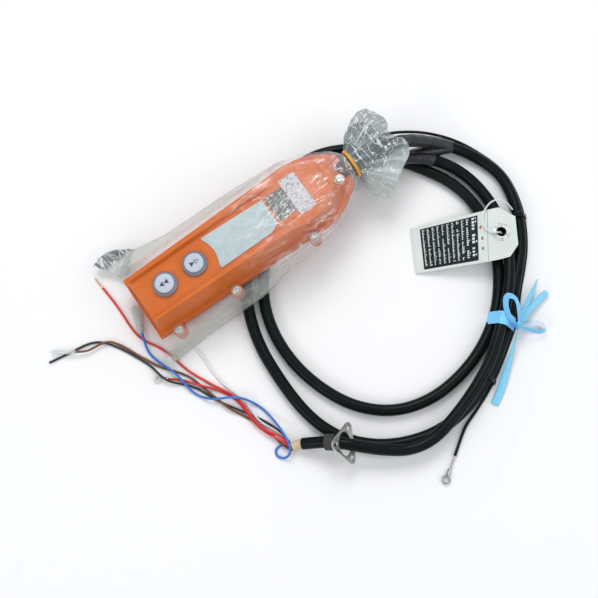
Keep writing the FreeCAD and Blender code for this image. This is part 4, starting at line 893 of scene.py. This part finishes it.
tails = [
    strip("bow_tail_left", [(219, 162, 16), (211, 174, 11), (203, 188, 7), (190, 210, 3.5)],
          [3.0, 7.0, 7.0, 5.0, 0.8], [UP, (0.3, 0.1, 1), UP], "tape_tail"),
    strip("bow_tail_right", [(220, 163, 15), (213, 177, 10), (209, 193, 6), (206, 209, 4)],
          [3.0, 6.0, 6.5, 6.0], [UP, (0.3, -0.2, 1), UP], "tape_tail"),
    strip("bow_tail_long",
          [(221, 159, 14.5), (229, 150, 10.5), (240, 136, 6), (251, 122, 3.5), (259, 111, 2.4), (267, 98, 1.6)],
          [2.0, 3.0, 5.5, 7.5, 8.0, 7.5], [(0.5, 0.5, 0.7), UP, UP], "tape_tail")]

KNOT_MIDDLE = Vector((218.5, 162, 13.8))
KNOT_ALONG, KNOT_ACROSS = Vector((0.64, -0.77, 0)), Vector((0.77, 0.64, 0))
KNOT_ROWS, KNOT_COLUMNS = 22, 40


def pinched_knot():
    """Overhand knot: a squeezed lump with a lap of tape wound about it."""
    points = []
    for i in range(KNOT_ROWS):
        t = math.pi * i / (KNOT_ROWS - 1)
        for j in range(KNOT_COLUMNS):
            a = 2 * math.pi * j / KNOT_COLUMNS
            pinch = 1 + 0.16 * math.cos(2 * t + a) + 0.07 * math.sin(5 * a + 3 * t)
            r = math.sin(t) * pinch
            points.append((KNOT_MIDDLE + KNOT_ALONG * (4.4 * math.cos(t))
                           + KNOT_ACROSS * (3.3 * r * math.cos(a)) + UPWARD * (3.4 * r * math.sin(a))) * MM)
    piece = mesh_piece("bow_knot", points, grid_faces(KNOT_ROWS, KNOT_COLUMNS, closed=True))
    give(piece, "blue_tape")
    return piece


knot = pinched_knot()
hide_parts("tape_knot")
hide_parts("tape_loops")
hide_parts("tape_loops")
for tape in tails:
    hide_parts("tape_tails")


# ---- tape wound on the cable ---------------------------------------------------------------------
WRAP_LOW, WRAP_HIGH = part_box("tape_wrap")
WRAP_REACH, WRAP_BELOW = 0.004, 0.002        # room round that box, and under it
LAP = 0.014                    # advance of one turn of the tape


def in_wrap(place):
    """Whether a place of the cable's line is where the tape is wound."""
    return (WRAP_LOW.x - WRAP_REACH < place.x < WRAP_HIGH.x + WRAP_REACH
            and WRAP_LOW.y - WRAP_REACH < place.y < WRAP_HIGH.y + WRAP_REACH
            and WRAP_LOW.z - WRAP_BELOW < place.z)


def wound(gone, turn):
    """Radius of the wound tape: a step at the edge of each lap, and a loose end near the top."""
    step = (gone / LAP + turn / (2 * math.pi)) % 1.0
    loose = math.exp(-((gone - 0.004) / 0.005) ** 2) * (1 + math.cos(turn))
    return CABLE_D / 2 + 0.00055 + 0.00035 * step + 0.0009 * loose


def evenly(line, step):
    """Points a step apart along a line."""
    places, gone = [line[0]], 0.0
    for a, b in zip(line, line[1:]):
        left = (b - a).length
        while gone + left >= step:
            a = a.lerp(b, (step - gone) / left)
            left = (b - a).length
            places.append(a)
            gone = 0.0
        gone += left
    return places


wrapped = [place for place in LINES[0][0] if in_wrap(place)]
wrap = tube_along("cable_wrap", evenly(wrapped, 0.0012), wound, 40)
give(wrap, moulded("wrap_tape", (0.016, 0.018, 0.02), 0.3, 0.2, 0.004, 0.0001))
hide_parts("tape_wrap")


# ---- film sleeve on the blue core ----------------------------------------------------------------
SLEEVE = moulded("sleeve_film", (0.66, 0.71, 0.70), 0.2, 0.12, 0.002, 0.0002, Alpha=0.42)
SLEEVE_ROWS, SLEEVE_COLUMNS = 30, 28
for sleeve in ("blue_sleeve", "brown_sleeve"):
    give(bpy.data.objects[sleeve], SLEEVE)


def flattened_sleeve(start, end, widths, heights):
    """Limp film tube, wide and flat at its open end and drawn in on the core at the other."""
    way = (Vector(end) - Vector(start)).normalized()
    across = way.cross(UPWARD).normalized()
    points = []
    for i in range(SLEEVE_ROWS):
        t = i / (SLEEVE_ROWS - 1)
        middle = Vector(start).lerp(Vector(end), t)
        wide = widths[0] + (widths[1] - widths[0]) * t ** 1.4
        high = heights[0] + (heights[1] - heights[0]) * t
        for j in range(SLEEVE_COLUMNS):
            a = 2 * math.pi * j / SLEEVE_COLUMNS
            crease = 1 + 0.12 * noise.noise(Vector((math.cos(a) * 2, math.sin(a) * 2, t * 3)))
            place = (middle + across * (wide / 2 * math.cos(a) * crease)
                     + UPWARD * (high / 2 * math.sin(a) * crease)) * MM
            place.z = max(place.z, TABLE_GAP)
            points.append(place)
    piece = mesh_piece("sleeve_tube", points, grid_faces(SLEEVE_ROWS, SLEEVE_COLUMNS, closed=True))
    give(piece, SLEEVE)


flattened_sleeve((-13.1, -137.2, 4.6), (14.0, -146.9, 4.2), (11.5, 4.6), (2.6, 6.9))


# ---- floor and light -----------------------------------------------------------------------------
FLOOR = 4.0                    # half of its side, in metres
floor_mesh = bpy.data.meshes.new("floor")
floor_mesh.from_pydata([(-FLOOR, -FLOOR, 0), (FLOOR, -FLOOR, 0), (FLOOR, FLOOR, 0), (-FLOOR, FLOOR, 0)],
                       [], [(0, 1, 2, 3)])
floor = bpy.data.objects.new("floor", floor_mesh)
bpy.context.scene.collection.objects.link(floor)
paper = Finish("floor_paper", (0.86, 0.86, 0.855), 0.7)
paper.rough(paper.noise(0.05, 4.0), 0.6, 0.75)
floor.data.materials.append(paper.material)


LIT = Vector((0.08, 0.02, 0.0))              # where every lamp points


def area_light(name, place, size, power):
    """White rectangular lamp over the object."""
    data = bpy.data.lights.new(name, "AREA")
    data.shape = "RECTANGLE"
    data.size, data.size_y = size
    data.energy = power
    lamp = bpy.data.objects.new(name, data)
    lamp.location = place
    lamp.rotation_euler = (LIT - Vector(place)).to_track_quat("-Z", "Y").to_euler()
    bpy.context.scene.collection.objects.link(lamp)


area_light("key", (-0.9, 0.5, 1.6), (0.9, 0.9), 15.0)
area_light("fill", (1.2, 0.9, 1.3), (1.2, 0.8), 6.0)
area_light("rim", (0.3, -1.6, 1.2), (1.0, 0.5), 6.0)

world = bpy.data.worlds.new("studio")
world.use_nodes = True
sky = world.node_tree.nodes["Background"]
sky.inputs["Color"].default_value = (0.92, 0.95, 1.0, 1.0)
sky.inputs["Strength"].default_value = 0.72
bpy.context.scene.world = world
bpy.context.scene.view_settings.view_transform = "Standard"

bpy.context.view_layer.update()
